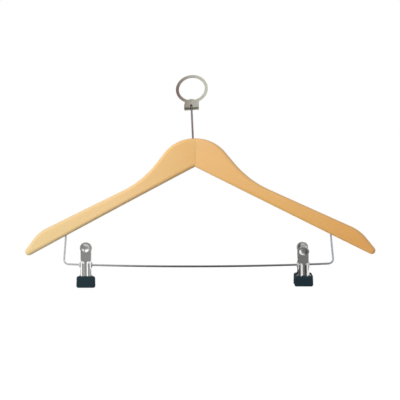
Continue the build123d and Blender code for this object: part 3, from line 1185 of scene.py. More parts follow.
class Finishes:
    """Every finish of the hanger, built once."""

    def __init__(self, groups: SurfaceGroups) -> None:
        """Builds the materials.

        Args:
            groups: The shared shader groups.
        """
        # Tints along each arm, multiplied into the grain: painted light, paler and bluer where the varnish's sheen is
        # painted, warmer and darker elsewhere.
        left = ToneAndPaintedLight((0.86, 0.98, 1.13), (0.96, 1.01, 1.18), (0.95, 0.885, 0.785), middle=-150.0, half_length=115.0)
        right = ToneAndPaintedLight((1.03, 1.12, 1.48), (1.0, 1.03, 1.09), (0.98, 0.9, 0.77), middle=156.0, half_length=113.0)
        # The ring's ramp is painted shade and light: dark and brownish on its left, pale and greenish on its right.
        ring = ToneAndPaintedLight((0.20, 0.135, 0.115), (0.46, 0.44, 0.38), (0.60, 0.61, 0.50), (0.98, 0.0, 0.17), 0.0, 20.0)
        # The bar's ramp is painted reflection: pale at its left end, dark along its run, with a painted pale bluish
        # highlight on its right leg.
        bar = PaintedLegHighlightTone((0.65,) * 3, (0.18,) * 3, (0.23, 0.23, 0.25), middle=4.5, half_length=168.0, ease=1.5)
        # The pin's ramp is a painted highlight: lighter and greyer towards the top, redder low down by the wood.
        pin = ToneAndPaintedLight((0.26, 0.19, 0.18), (0.26, 0.2, 0.195), (0.27, 0.25, 0.25), (0.0, 0.0, 1.0), -50.0, 24.0)
        sheet, tube, wire = ToneAndPaintedLight.even(0.75, 0.75, 0.74), ToneAndPaintedLight.even(0.75, 0.75, 0.75), ToneAndPaintedLight.even(0.26, 0.26, 0.26)
        # The arms' base colours differ partly as two pieces of beech and partly as painted light: the left arm is
        # paler and less red, standing for its varnish's sheen.
        beech_left = WoodFinish("varnished_beech_left", 25.9, (0.76, 0.49, 0.195), (0.65, 0.37, 0.125), left)
        beech_right = WoodFinish("varnished_beech_right", -25.9, (0.79, 0.43, 0.125), (0.67, 0.33, 0.085), right)
        self.wood = {Side.LEFT: beech_left.material(groups), Side.RIGHT: beech_right.material(groups)}
        self.ring = PlatedFinish("satin_nickel_ring", ring, 0.28).material(groups)
        self.pin = PlatedFinish("bright_nickel_pin", pin, 0.25).material(groups)
        self.bar = PlatedFinish("drawn_bar_wire", bar, 0.26).material(groups)
        self.clip = PlatedFinish("nickel_clip_sheet", sheet, 0.14).material(groups)
        self.tube = PlatedFinish("rolled_rivet_tube", tube, 0.26).material(groups)
        self.spring = PlatedFinish("spring_wire", wire, 0.3).material(groups)
        self.rubber = RubberFinish("blue_black_rubber").material(groups)


# Sub-assemblies
@dataclass
class Assembly:
    """Part of the hanger, made with the shared geometry trees and finishes."""

    trees: ShapeTrees
    finishes: Finishes


@dataclass
class WoodenArms(Assembly):
    """Two contoured arms of one outline, joined at the middle by a finger joint."""

    ball: Vector
    width: float = 445.0
    thick: float = 13.0
    showing: float = 38.3
    height: float = 35.2
    crown_flat: float = 1.2
    crown_radius: float = 47.0
    flank: float = 18.0
    flank_angle: float = 50.7
    saddle_radius: float = 120.0
    top_angle: float = 24.8
    base_angle: float = 27.0
    nose_radius: float = 50.0
    nose_angle: float = 51.4
    tip_radius: float = 4.6
    edge_round: float = 4.0
    contour_radius: float = 1040.0
    kink: float = 2.0
    body_shift: float = 3.538
    finger: float = 3.6
    fingers: int = 4
    glue_line: float = 0.05
    net: float = 7.0
    crease_steps: int = 5

    @property
    def place(self) -> Matrix:
        """Where the middle of the joint stands, at the height of the ball."""
        return Matrix.Translation(self.ball) @ shifted(self.body_shift, 0, 0)

    def depth(self, x: float) -> float:
        """Finds how far back the middle of an arm lies.

        Args:
            x: Place along the hanger, from the joint.

        Returns:
            The depth behind the joint.
        """
        kink = math.radians(self.kink)
        along = abs(x) + self.contour_radius * math.sin(kink)
        return self.contour_radius * math.cos(kink) - math.sqrt(self.contour_radius**2 - along**2)

    def outline(self) -> np.ndarray:
        """Draws the outline of both arms.

        Returns:
            Its points, from the apex of the lower edges round to the right.
        """
        top = -self.showing
        apex = top - self.height
        half_bend = math.tan(math.radians(self.flank_angle / 2))
        crown = Vector((self.crown_flat + self.crown_radius * half_bend, top))
        turn = math.radians((self.flank_angle - self.top_angle) / 2)
        reach = self.crown_radius * half_bend + self.flank + self.saddle_radius * math.tan(turn)
        saddle = crown + way(-self.flank_angle) * reach
        base = math.radians(self.base_angle)
        tip_x = self.width / 2 - self.tip_radius
        tip = Vector((tip_x, apex - tip_x * math.tan(base) + self.tip_radius / math.cos(base)))
        on_nose = tip + way(90 - self.nose_angle) * self.tip_radius
        point = meet(on_nose, -self.nose_angle, Vector((0, apex)), -self.base_angle)
        nose = meet(saddle, -self.top_angle, on_nose, -self.nose_angle)
        right = [
            (*point, self.tip_radius),
            (*nose, self.nose_radius),
            (*saddle, self.saddle_radius),
            (*crown, self.crown_radius),
        ]
        left = [(-x, y, radius) for x, y, radius in reversed(right)]
        return Trace(3.0, 5.0).corners([(0.0, apex, 0.0), *right, (0.0, top, 0.0), *left], True).line()

    def body(self) -> bpy.types.Mesh:
        """Makes both arms in one, swept back.

        Returns:
            The mesh, with the joint's middle at the origin.
        """
        low, steps = -self.showing - self.height, self.crease_steps + 1
        crease = [(0.0, low + self.height * step / steps) for step in range(1, steps)]
        rim = self.edge_round
        flat = Plate(self.outline(), [], self.thick / 2, rim, rim, self.net, 8, crease).shell()
        sizes = {"Radius": self.contour_radius * MM, "Kink": math.radians(self.kink)}
        sizes["Finish"] = self.finishes.wood[Side.LEFT]
        return grown(flat.mesh("flat_body"), self.trees.contour, sizes)

    def comb(self, glue: float) -> Shell:
        """Makes the space of the left arm with its fingers.

        Args:
            glue: How far each finger is made larger.

        Returns:
            A closed prism.
        """
        reach, half = self.width, self.finger / 2
        layer = self.thick / self.fingers
        plan = [(-reach, -reach)]
        for index in range(self.fingers):
            own = index % 2 == 0
            x = half + glue if own else -half + glue
            front = -reach if index == 0 else -self.thick / 2 + index * layer + (-glue if own else glue)
            last = index == self.fingers - 1
            back = reach if last else -self.thick / 2 + (index + 1) * layer + (glue if own else -glue)
            plan += [(x, front), (x, back)]
        plan.append((-reach, reach))
        count = len(plan)
        points = [(x, y, z) for z in (-reach, 0.0) for x, y in plan]
        faces: Faces = [tuple(range(count)), tuple(range(count, 2 * count))]
        for index in range(count):
            ahead = (index + 1) % count
            faces.append((index, ahead, count + ahead, count + index))
        return Shell(np.array(points), faces)

    def build(self, bores: Sequence[Shell]) -> None:
        """Makes both arms and dresses them.

        Args:
            bores: Drillings for the pin and the bar, with the joint's middle at the origin.
        """
        body = self.body()
        for bore in bores:
            body = parted(body, bore.mesh("bore"), Cut.OUTSIDE)
        for side, glue, cut in ((Side.LEFT, 0.0, Cut.INSIDE), (Side.RIGHT, self.glue_line, Cut.OUTSIDE)):
            mesh = parted(body, self.comb(glue).mesh("comb"), cut)
            mesh.transform(in_metres(self.place))
            node = f"{side.value}_arm"
            piece = finished(f"{node}_wood", mesh, self.finishes.wood[side], node, 25.0, True)
            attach(piece, "hanger")


@dataclass
class TrouserBar(Assembly):
    """One wire bent to a wide flat U, both ends in the wood."""

    arms: WoodenArms
    radius: float = 1.25
    drop: float = 124.6
    run_half: float = 164.0
    bow_radius: float = 4390.0
    corner: float = 6.0
    leg_lean: float = 5.2
    buried: float = 11.0
    fit: float = 0.05
    run_steps: int = 28
    corner_steps: int = 12
    leg_steps: int = 6

    def __post_init__(self) -> None:
        """Works out the right half of the bar's middle line, in X and Z, and its depth."""
        apex = -self.arms.showing - self.arms.height
        hub_z = apex - self.drop + self.bow_radius
        slope = math.asin(self.run_half / self.bow_radius)
        self.line: list[Point] = []
        for step in range(self.run_steps + 1):
            angle = slope * step / self.run_steps
            self.line.append((self.bow_radius * math.sin(angle), hub_z - self.bow_radius * math.cos(angle)))
        hub = Vector(self.line[-1]) + Vector((-math.sin(slope), math.cos(slope))) * self.corner
        first, last = math.degrees(slope) - 90, self.leg_lean
        for step in range(1, self.corner_steps + 1):
            self.line.append(tuple(hub + way(first + (last - first) * step / self.corner_steps) * self.corner))
        self.foot = Vector(self.line[-1])
        entry = meet(self.foot, 90 + self.leg_lean, Vector((0, apex)), -self.arms.base_angle)
        self.top = entry + way(90 + self.leg_lean) * self.buried
        leg = (self.top - self.foot) / self.leg_steps
        self.line += [tuple(self.foot + leg * step) for step in range(1, self.leg_steps + 1)]
        self.depth = self.arms.depth(entry.x)

    def bores(self) -> list[Shell]:
        """Drills the wood for both ends.

        Returns:
            Two closed cylinders about the joint's middle.
        """
        up = self.top - self.foot
        rod = lathe(rod_profile(self.radius + self.fit, up.length + self.fit * 3), 32, False)
        lean = math.degrees(math.atan2(up.x, up.y))
        low = self.foot
        return [rod.moved(shifted(sign * low.x, self.depth, low.y) @ spun("Y", lean * sign)) for sign in (-1, 1)]

    def build(self) -> None:
        """Makes the bar and dresses it."""
        whole = [(-x, z) for x, z in reversed(self.line)] + self.line[1:]
        points = [(self.arms.place @ Vector((x, self.depth, z))) * MM for x, z in whole]
        line = bpy.data.meshes.new("bar_line")
        line.from_pydata(points, [(index, index + 1) for index in range(len(points) - 1)], [])
        sizes = {"Wire radius": self.radius * MM, "Sides": 24, "Finish": self.finishes.bar}
        mesh = grown(line, self.trees.wire, sizes)
        piece = finished("trouser_bar_wire", mesh, self.finishes.bar, "trouser_bar", 50.0)
        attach(piece, "hanger")


def rod_profile(radius: float, length: float) -> list[Point]:
    """Profile of a plain rod that stands on its end."""
    return [(0.0, 0.0), (radius, 0.0), (radius, length), (0.0, length)]


@dataclass
class SecurityPin(Assembly):
    """Turned pin: a ball for the ring, a stem and a foot inside the wood."""

    ball: Vector
    lean: float = 2.15
    stem: float = 1.25
    ball_radius: float = 2.05
    showing: float = 38.3
    buried: float = 18.0
    foot_radius: float = 2.2
    foot_height: float = 1.4
    foot_round: float = 0.25
    fit: float = 0.05
    pocket_gap: float = 0.15
    past_wood: float = 3.0
    segments: int = 40
    ball_steps: int = 16

    @property
    def bottom(self) -> float:
        """Height of the foot's underside, from the ball."""
        return -self.showing - self.buried

    def bore(self, shift: float) -> list[Shell]:
        """Makes room for the pin in the wood.

        Args:
            shift: How far the ball stands to the left of the wood's joint.

        Returns:
            Its bore with the pocket for the foot, about the joint's middle.
        """
        wide, gap, slim = self.foot_radius + self.pocket_gap, self.pocket_gap, self.stem + self.fit
        low, high = self.bottom - gap, self.bottom + self.foot_height + gap
        end = -self.showing + self.past_wood
        profile = [(0.0, low), (wide, low), (wide, high), (slim, high), (slim, end), (0.0, end)]
        return [lathe(profile, self.segments, False).moved(shifted(-shift, 0, 0) @ spun("Y", -self.lean))]

    def build(self) -> None:
        """Turns the pin and dresses it."""
        low, high, rim = self.bottom, self.bottom + self.foot_height, self.foot_round
        profile = [(0.0, low), (self.foot_radius - rim, low), (self.foot_radius, low + rim)]
        profile += [(self.foot_radius, high - rim), (self.foot_radius - rim, high), (self.stem, high)]
        profile += [(self.stem, -self.showing), (self.stem, -self.showing / 2)]
        neck = math.asin(self.stem / self.ball_radius)
        for step in range(self.ball_steps):
            angle = neck + (math.pi - neck) * step / self.ball_steps
            profile.append((self.ball_radius * math.sin(angle), -self.ball_radius * math.cos(angle)))
        profile.append((0.0, self.ball_radius))
        shell = lathe(profile, self.segments, False).moved(Matrix.Translation(self.ball) @ spun("Y", -self.lean))
        piece = finished("security_pin_turned", shell.mesh("pin"), self.finishes.pin, "security_pin")
        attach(piece, "pin")


@dataclass
class SecurityRing(Assembly):
    """Flat stamped ring whose foot is folded forward to a slotted channel round the pin's ball."""

    ball: Vector
    bore: float = 16.3
    band: float = 3.8
    sheet: float = 1.1
    bend: float = 0.8
    foot_width: float = 17.8
    drop: float = 31.0
    channel: float = 4.4
    lip: float = 13.2
    lean: float = 25.3
    pin_lean: float = 2.15
    slot_half: float = 1.4
    slot_top: float = 5.4
    slot_back: float = 0.5
    ball_reach: float = 2.15
    root_round: float = 2.0
    rim: float = 0.16
    net: float = 0.9

    @property
    def fold(self) -> float:
        """Radius of the sheet's middle round a fold."""
        return self.bend + self.sheet / 2

    def unrolled(self) -> Triple:
        """Works out the flat lengths of the folded part.

        Returns:
            Where the floor starts, where it ends and where the lip starts, below the first fold.
        """
        quarter = math.pi / 2 * self.fold
        floor = self.channel + self.sheet - 2 * self.fold
        return -quarter, -quarter - floor, -2 * quarter - floor

    def blank(self) -> Plate:
        """Lays out the flat blank.

        Returns:
            The blank, its height counted from the first fold.
        """
        half, first = self.foot_width / 2, self.sheet / 2 + self.fold
        centre, outer = self.drop - first, self.bore + self.band
        lip_start = self.unrolled()[2]
        aside = half + self.root_round
        root = centre - math.sqrt((outer + self.root_round) ** 2 - aside**2)
        swing = math.degrees(math.atan2(root - centre, aside))
        trace = Trace(self.net)
        trace.arc(0, lip_start - (self.lip - half - first), half, 180, 360)
        trace.arc(aside, root, self.root_round, 180, 180 + swing)
        trace.arc(0, centre, outer, swing, 180 - swing)
        trace.arc(-aside, root, self.root_round, -swing, 0)
        start = math.acos((self.slot_back - self.sheet / 2 + self.fold) / self.fold) * self.fold
        slot = Trace(self.net / 2)
        slot.arc(0, -start - self.slot_half, self.slot_half, 180, 0)
        slot.arc(0, lip_start - (self.slot_top - self.slot_half - first), self.slot_half, 0, -180)
        holes = [disc_loop(0, centre, self.bore, self.net), slot.loop()]
        return Plate(trace.loop(), holes, self.sheet / 2, self.rim, self.rim, self.net, 3)

    def folded(self, points: np.ndarray) -> np.ndarray:
        """Folds the blank: up the plate, round under it and up the lip in front.

        Args:
            points: Points of the flat blank, its height counted from the first fold.

        Returns:
            The folded points, with the plate's front at Y zero and the channel's underside at Z zero.
        """
        x, w, s = points.T
        floor_start, floor_end, lip_start = self.unrolled()
        middle, base = self.sheet / 2, self.sheet / 2 + self.fold
        back, front = middle - self.fold, -self.channel - middle + self.fold
        first = np.clip(-s / self.fold, 0, math.pi / 2)
        second = np.clip((floor_end - s) / self.fold, 0, math.pi / 2)
        reach = self.fold + w
        y = np.where(s >= 0, middle + w, back + reach * np.cos(first))
        z = np.where(s >= 0, base + s, base - reach * np.sin(first))
        on_floor = (s < floor_start) & (s >= floor_end)
        y = np.where(on_floor, back - (floor_start - s), y)
        z = np.where(on_floor, base - reach, z)
        past = s < floor_end
        y = np.where(past, front - reach * np.sin(second), y)
        z = np.where(past, base - reach * np.cos(second), z)
        z = np.where(s < lip_start, base + (lip_start - s), z)
        return np.stack([x, y, z], axis=1)

    def build(self) -> None:
        """Stamps and folds the ring and dresses it."""
        seat = self.sheet + math.sqrt(self.ball_reach**2 - self.slot_half**2)
        leaned = Matrix.Translation(self.ball) @ spun("Y", -self.pin_lean) @ spun("X", -self.lean)
        place = leaned @ shifted(0, self.channel / 2, -seat)
        mesh = self.blank().shell().warped(self.folded).moved(place).mesh("ring")
        steel = self.finishes.ring
        piece = finished("security_ring_folded", mesh, steel, "security_ring", 40.0, True)
        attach(piece, "ring")


@dataclass
class ClipJaw(Assembly):
    """One jaw of a clip, cut from sheet, pressed and folded round the pivot."""

    sheet: float = 0.9
    inner: float = 3.86
    handle_lean: float = 4.2
    jaw_lean: float = 3.2
    handle_top: float = 28.7
    thumb: float = 7.25
    neck_half: float = 6.5
    neck_round: float = 2.0
    half: float = 6.9
    shoulder: float = 5.5
    plate_end: float = 27.0
    end_round: float = 1.0
    flare_top: float = 11.8
    flare_bottom: float = 15.6
    flare_half: float = 10.5
    flare_round: float = 1.5
    dish_radius: float = 5.2
    dish_depth: float = 0.7
    dish_blend: float = 0.2
    rib_spacing: float = 7.6
    rib_width: float = 4.4
    rib_height: float = 0.9
    rib_top: float = 5.0
    rib_blend: float = 0.3
    ear_middle: float = 6.45
    ear_bend: float = 0.85
    ear_half: float = 4.7
    relief: float = 0.5
    ear_end: float = 3.6
    ear_hole: float = 2.55
    shift: float = 0.6
    rim: float = 0.14
    net: float = 0.55

    @property
    def fold(self) -> float:
        """Place across the blank where an ear's fold starts."""
        return self.ear_middle - self.ear_bend

    def blank(self) -> Plate:
        """Lays out the flat blank with its two ears.

        Returns:
            The blank, its height counted from the pivot.
        """
        fold, root = self.fold, self.neck_round
        pivot = fold + math.pi / 2 * self.ear_bend + self.inner + self.sheet / 2 - self.ear_bend
        thumb_z = self.handle_top - self.thumb
        neck_z = thumb_z - math.sqrt((self.thumb + root) ** 2 - (self.neck_half + root) ** 2)
        swing = math.degrees(math.atan2(thumb_z - neck_z, self.neck_half + root))
        slant = math.degrees(math.atan2(self.ear_half - self.ear_end, pivot - fold))
        ear_root = self.ear_half + self.relief
        edge = [
            (0, -self.plate_end, 0),
            (self.flare_half, -self.plate_end, self.end_round),
            (self.flare_half, -self.flare_bottom, self.flare_round),
            (self.half, -self.flare_top, self.flare_round),
            (self.half, -ear_root, 0),
        ]
        trace = Trace(self.net).corners(edge, False)
        trace.to(fold, -ear_root).to(fold, -self.ear_half)
        trace.arc(pivot, 0, self.ear_end, slant - 90, 90 - slant)
        trace.to(fold, self.ear_half).to(fold, ear_root).to(self.neck_half, self.shoulder)
        trace.arc(self.neck_half + root, neck_z, root, 180, 180 - swing)
        trace.arc(0, thumb_z, self.thumb, -swing, 90)
        right = trace.line()
        outer = np.concatenate([right, right[::-1][1:-1] * np.array([-1, 1])])
        holes = [disc_loop(sign * pivot, 0, self.ear_hole, self.net) for sign in (-1, 1)]
        return Plate(outer, holes, self.sheet / 2, self.rim, self.rim, self.net, 3)

    def folded(self, points: np.ndarray) -> np.ndarray:
        """Sets the blank at the jaw's lean and folds its ears to the pivot.

        Args:
            points: Points of the pressed blank.

        Returns:
            The points about the pivot.
        """
        x, w, z = points.T
        slopes = math.tan(math.radians(self.handle_lean)), math.tan(math.radians(self.jaw_lean))
        lean = -z * np.where(z > 0, slopes[0], slopes[1])
        middle = -self.inner - self.sheet / 2
        tab = (np.abs(x) > self.fold) & (np.abs(z) < self.ear_half + self.relief / 2)
        past = np.where(tab, np.abs(x) - self.fold, 0)
        turn = np.clip(past / self.ear_bend, 0, math.pi / 2)
        straight = np.maximum(past - self.ear_bend * math.pi / 2, 0)
        ease = turn / (math.pi / 2)
        reach = self.ear_bend - w
        folded_x = np.sign(x) * (self.fold + reach * np.sin(turn))
        folded_y = middle + self.ear_bend - reach * np.cos(turn) + straight + lean * (1 - ease)
        y = np.where(tab, folded_y, middle + w + lean)
        return np.stack([np.where(tab, folded_x, x) + self.shift, y, z], axis=1)

    def shell(self) -> Shell:
        """Presses and folds one jaw.

        Returns:
            Its surface about the pivot, on the front side.
        """
        lengths = {
            "Rib spacing": self.rib_spacing,
            "Rib radius": self.rib_width**2 / (8 * self.rib_height) + self.rib_height / 2,
            "Rib height": self.rib_height,
            "Rib top": self.rib_top,
            "Rib blend": self.rib_blend,
            "Dish height": self.handle_top - self.thumb,
            "Dish radius": self.dish_radius**2 / (2 * self.dish_depth) + self.dish_depth / 2,
            "Dish depth": self.dish_depth,
            "Dish blend": self.dish_blend,
        }
        sizes = {name: length * MM for name, length in lengths.items()} | {"Finish": self.finishes.clip}
        mesh = grown(self.blank().shell().mesh("jaw_blank"), self.trees.pressing, sizes)
        return Shell.taken(mesh).warped(self.folded)


@dataclass
class RubberGrip(Assembly):
    """Moulded boot round the end of a jaw, grooved on its gripping face."""

    half: float = 11.9
    top: float = 14.1
    bottom: float = 28.9
    front: float = 5.85
    mouth: float = 0.05
    corner: float = 2.6
    taper: float = 0.5
    edge: float = 1.4
    mouth_edge: float = 0.35
    grooves: int = 4
    groove_radius: float = 0.55
    near_face: float = 0.4
    margin: float = 2.4
    shift: float = 0.6
    net: float = 0.45

    def shell(self) -> Shell:
        """Moulds one boot.

        Returns:
            Its surface about the pivot, on the front side.
        """
        narrow = self.half - self.taper
        corners = [(-self.half, -self.bottom), (self.half, -self.bottom), (narrow, -self.top), (-narrow, -self.top)]
        outer = Trace(self.net).corners([(*corner, self.corner) for corner in corners], True).line()
        half = (self.front - self.mouth) / 2
        flat = Plate(outer, [], half, self.edge, self.mouth_edge, self.net, 5).shell()
        flat = flat.moved(shifted(self.shift, -self.mouth - half, 0))
        lengths = {
            "Mouth": -self.mouth,
            "Near face": self.near_face,
            "Lowest": -self.bottom + self.margin,
            "Pace": (self.bottom - self.top - 2 * self.margin) / (self.grooves - 1),
            "Groove radius": self.groove_radius,
        }
        sizes = {name: length * MM for name, length in lengths.items()}
        sizes |= {"Count": float(self.grooves), "Finish": self.finishes.rubber}
        return Shell.taken(grown(flat.mesh("boot"), self.trees.grooves, sizes))


@dataclass
class PivotTube:
    """Hollow rivet that runs on the bar, its ends rolled over outside of the ears."""

    width: float = 15.1
    bore: float = 1.95
    wall: float = 0.55
    flare: float = 0.8
    lip: float = 0.5
    mouth_steps: int = 6
    curl_steps: int = 8

    def shell(self) -> Shell:
        """Turns the tube.

        Returns:
            Its surface, along X.
        """
        half, outer = self.width / 2, self.bore + self.wall
        curl = self.lip / 2
        rolled = outer + self.flare - curl
        right: list[Point] = [(self.bore, 0.0), (self.bore, half)]
        for step in range(self.mouth_steps + 1):
            across = way(180 - 90 * step / self.mouth_steps) * self.lip
            right.append((self.bore + self.lip + across.x, half + across.y))
        for step in range(self.curl_steps + 1):
            across = way(90 - 180 * step / self.curl_steps) * curl
            right.append((rolled + across.x, half + curl + across.y))
        right += [(outer, half), (outer, 0.0)]
        left = [(radius, -height) for radius, height in right[1:-1]]
        return lathe(right + left[::-1], 40, True).moved(spun("Y", 90))


@dataclass
class TorsionSpring(Assembly):
    """Coil round the tube with a straight leg up the inside of each handle."""

    wire: float = 0.55
    coil: float = 3.25
    pitch: float = 1.6
    turns: float = 3.0
    leg: float = 15.0
    handle_lean: float = 4.2

    def mesh(self) -> bpy.types.Mesh:
        """Winds the spring.

        Returns:
            Its mesh about the pivot.
        """
        lengths = {"Coil radius": self.coil, "Pitch": self.pitch, "Leg": self.leg, "Wire radius": self.wire}
        sizes = {name: length * MM for name, length in lengths.items()}
        sizes |= {"Turns": self.turns + 0.5 - self.handle_lean / 180, "Start angle": math.radians(self.handle_lean)}
        sizes |= {"Points": 241, "Sides": 16, "Finish": self.finishes.spring}
        return grown(bpy.data.meshes.new("spring_line"), self.trees.coil, sizes)


@dataclass
class TrouserClip(Assembly):
    """Sprung clip on the bar: tube, spring, two jaws and two rubber boots."""

    side: Side
    lean: float

    def build(self) -> None:
        """Makes the clip and dresses it."""
        name, tools = self.side.value, (self.trees, self.finishes)
        pivot = Matrix.Translation(joint_place(f"{name}_clip_swing"))
        hung = pivot @ spun("X", self.lean)
        jaw, grip, spring = ClipJaw(*tools).shell(), RubberGrip(*tools).shell(), TorsionSpring(*tools)
        steel, rubber = self.finishes.clip, self.finishes.rubber
        moulds = ("jaw", "sheet", jaw, steel, "clip_steel"), ("grip", "boot", grip, rubber, "grip_rubber")
        for body, place in ((f"{name}_front", hung), (f"{name}_rear", hung @ spun("Z", 180))):
            for part, kind, shell, finish, slot in moulds:
                node, mesh = f"{body}_{part}", shell.moved(place).mesh(kind)
                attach(finished(f"{node}_{kind}", mesh, finish, node, 40.0, True), body)
        mesh = PivotTube().shell().moved(pivot).mesh("tube")
        tube = finished(f"{name}_tube_rolled", mesh, self.finishes.tube, f"{name}_pivot_tube")
        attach(tube, f"{name}_tube")
        mesh = spring.mesh()
        mesh.transform(in_metres(hung))
        node = f"{name}_torsion_spring"
        coil = finished(f"{name}_spring_wire", mesh, self.finishes.spring, node, 50.0)
        reach = spring.coil + spring.wire
        start, end = (hung @ Vector((0, sign * reach, 0)) * MM for sign in (-1, 1))
        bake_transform(coil)


@dataclass(frozen=True)
class Lamp:
    """Soft square lamp: its place and width in metres, and its power."""

    name: str
    place: Triple
    size: float
    watts: float


LAMPS = (
    Lamp("key", (-2.4, -1.4, 0.0), 1.2, 42.0),
    Lamp("sheen", (-1.2, -2.6, 0.3), 0.9, 17.0),
    Lamp("fill", (1.5, -1.9, 1.5), 0.8, 7.0),
)
WHITE = (1.0, 1.0, 1.0)


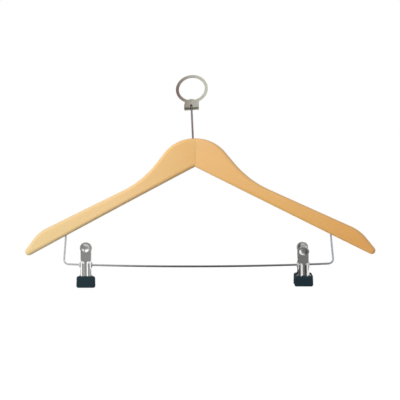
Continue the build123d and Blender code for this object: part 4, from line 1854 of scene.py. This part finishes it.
@dataclass
class Studio:
    """Pale floor, soft light and the camera that looks at the hanger as it was photographed.

    Each run of brightness goes from a start to an end along one direction, and from a first to a last value.
    """

    middle: Triple = (11.173, -21.067, -139.104)
    distance: float = 1453.0
    yaw: float = 5.5
    roll: float = 0.46
    lens: float = 105.98
    sensor: float = 36.0
    nearest: float = 0.02
    farthest: float = 60.0
    floor_drop: float = 440.0
    floor_size: float = 1600.0
    paint: float = 0.45
    glow: float = 1.2
    glow_share: float = 0.8
    sky: Triple = (0.97, 0.985, 1.0)
    across: tuple[float, ...] = (-1.0, 1.0, 1.0, 0.35)
    ahead: tuple[float, ...] = (-1.0, 0.3, 1.19, 0.62)
    behind: tuple[float, ...] = (0.2, 0.7, 1.0, 1.65)
    upward: tuple[float, ...] = (-0.6, 0.6, 0.55, 1.24)

    def camera(self) -> None:
        """Puts the camera in place."""
        yaw, roll = math.radians(self.yaw), math.radians(self.roll)
        ahead = Vector((-math.sin(yaw), math.cos(yaw), 0))
        level = Vector((math.cos(yaw), math.sin(yaw), 0))
        rise = Vector((0, 0, 1))
        right = level * math.cos(roll) - rise * math.sin(roll)
        up = level * math.sin(roll) + rise * math.cos(roll)
        data = bpy.data.cameras.new("camera")
        data.lens, data.sensor_width = self.lens, self.sensor
        data.clip_start, data.clip_end = self.nearest, self.farthest
        seat = (Vector(self.middle) - ahead * self.distance) * MM
        made = bpy.data.objects.new("camera", data)
        made.matrix_world = Matrix.Translation(seat) @ Matrix((right, up, -ahead)).transposed().to_4x4()
        bpy.context.scene.collection.objects.link(made)
        bpy.context.scene.camera = made

    def hang(self, lamp: Lamp) -> None:
        """Hangs a lamp that looks at the hanger and doesn't show in its metal.

        Args:
            lamp: The lamp.
        """
        data = bpy.data.lights.new(lamp.name, "AREA")
        data.size, data.energy = lamp.size, lamp.watts
        made = bpy.data.objects.new(lamp.name, data)
        made.location = lamp.place
        made.visible_glossy = False
        aim = Vector(self.middle) * MM - Vector(lamp.place)
        made.rotation_euler = aim.to_track_quat("-Z", "Y").to_euler()
        bpy.context.scene.collection.objects.link(made)

    @staticmethod
    def paths(wiring: Wiring) -> tuple[Signal, Signal]:
        """Camera rays, and rays that metal or glass sends on."""
        path = wiring.outlets("ShaderNodeLightPath", {})
        return path["Is Camera Ray"], path["Is Glossy Ray"].most(path["Is Transmission Ray"])

    @staticmethod
    def mirrored_room(x: Signal, y: Signal, z: Signal) -> Signal:
        """Draws the room that metal mirrors: bright boxes beside the camera, a dark gap between them.

        Args:
            x: Direction to the right.
            y: Direction to the back.
            z: Direction up.

        Returns:
            Its brightness.
        """
        sides = abs(x - 0.1).ramp(0.6, 0.8, 0.0, 0.6) * y.ramp(-0.1, -0.3)
        walls = y.ramp(-0.95, -0.35, 0.3, 1.0) * y.ramp(0.3, 0.9, 1.0, 0.5)
        gap = abs(x + 0.05).ramp(0.05, 0.12) * y.ramp(0.0, -0.2)
        boxes = z.ramp(0.02, 0.14) * z.ramp(0.5, 0.65, 1.5, 0.0)
        return (sides + walls).most(boxes * gap).most(z.ramp(0.45, 0.65))

    @staticmethod
    def mirrored_floor(x: Signal, y: Signal) -> Signal:
        """Draws the floor that metal mirrors: bright to both sides and behind, dark below the hanger.

        Args:
            x: Place to the right.
            y: Place to the back.

        Returns:
            Its brightness.
        """
        near = x.ramp(0.08, 0.1) * y.ramp(-0.2, -0.26)
        right = x.ramp(0.18, 0.2, 0.0, 1.3).least(x.ramp(0.3, 0.36, 1.3, 0.5))
        left, base = x.ramp(-0.1, -0.14, 0.0, 0.8), x.ramp(0.05, 0.1, 0.06, 0.22)
        return right.most(near).most(left).most(base).most(y.ramp(0.12, 0.22))

    def world(self) -> None:
        """Lights the room evenly, white where the camera looks past the hanger."""
        world = bpy.data.worlds.new("studio")
        bpy.context.scene.world = world
        world.use_nodes = True
        wiring = Wiring(world.node_tree)
        world.node_tree.nodes.clear()
        x, y, z = wiring.split(wiring.add("ShaderNodeTexCoord", {}, "Generated"))
        strength = x.ramp(*self.across) * (y.ramp(*self.ahead) * y.ramp(*self.behind)) * z.ramp(*self.upward)
        light = wiring.add("ShaderNodeBackground", {"Color": self.sky, "Strength": strength})
        mirror = wiring.add("ShaderNodeBackground", {"Color": self.mirrored_room(x, y, z), "Strength": 1.0})
        white = wiring.add("ShaderNodeBackground", {"Color": WHITE, "Strength": 1.0})
        seen, shine = self.paths(wiring)
        mixed = wiring.add("ShaderNodeMixShader", {0: shine, 1: light, 2: mirror})
        mixed = wiring.add("ShaderNodeMixShader", {0: seen, 1: mixed, 2: white})
        wiring.place("ShaderNodeOutputWorld", {"Surface": mixed})

    def floor(self) -> None:
        """Lays a pale floor well below the hanger, white to the camera but for the hanger's shadow."""
        half, height = self.floor_size / 2 * MM, -self.floor_drop * MM
        mesh = bpy.data.meshes.new("floor")
        corners = [(-half, -half, height), (half, -half, height), (half, half, height), (-half, half, height)]
        mesh.from_pydata(corners, [], [(0, 1, 2, 3)])
        made = lone("floor", mesh)
        material = bpy.data.materials.new("pale_floor")
        material.use_nodes = True
        material.node_tree.nodes.clear()
        wiring = Wiring(material.node_tree)
        paint = wiring.add("ShaderNodeBsdfDiffuse", {"Color": (self.paint,) * 3})
        x, y, _ = wiring.split(wiring.add("ShaderNodeTexCoord", {}, "Object"))
        seen, shine = self.paths(wiring)
        strength = wiring.add("ShaderNodeMix", {0: shine, 2: self.glow, 3: self.mirrored_floor(x, y)})
        glow = wiring.add("ShaderNodeEmission", {"Color": WHITE, "Strength": strength})
        share = (seen * self.glow_share).most(shine)
        mixed = wiring.add("ShaderNodeMixShader", {0: share, 1: paint, 2: glow})
        wiring.place("ShaderNodeOutputMaterial", {"Surface": mixed})
        mesh.materials.append(material)

    def build(self) -> None:
        """Sets up the camera, the light and the floor."""
        self.camera()
        self.world()
        self.floor()
        for lamp in LAMPS:
            self.hang(lamp)
        bpy.context.scene.view_settings.view_transform = "Standard"
        log.info("studio: camera, world, floor and %d lamps", len(LAMPS))


def main() -> None:
    """Builds every piece in order."""
    logging.basicConfig(level=logging.INFO, format="%(name)s: %(message)s")
    tools = ShapeTrees(), Finishes(SurfaceGroups())
    ball = joint_place("ring_rock")
    Studio().build()
    SecurityRing(*tools, ball).build()
    pin = SecurityPin(*tools, ball)
    pin.build()
    arms = WoodenArms(*tools, ball)
    bar = TrouserBar(*tools, arms)
    arms.build(pin.bore(arms.body_shift) + bar.bores())
    bar.build()
    for side, lean in ((Side.LEFT, -3.0), (Side.RIGHT, 26.0)):
        TrouserClip(*tools, side, lean).build()


if __name__ == "__main__":
    main()
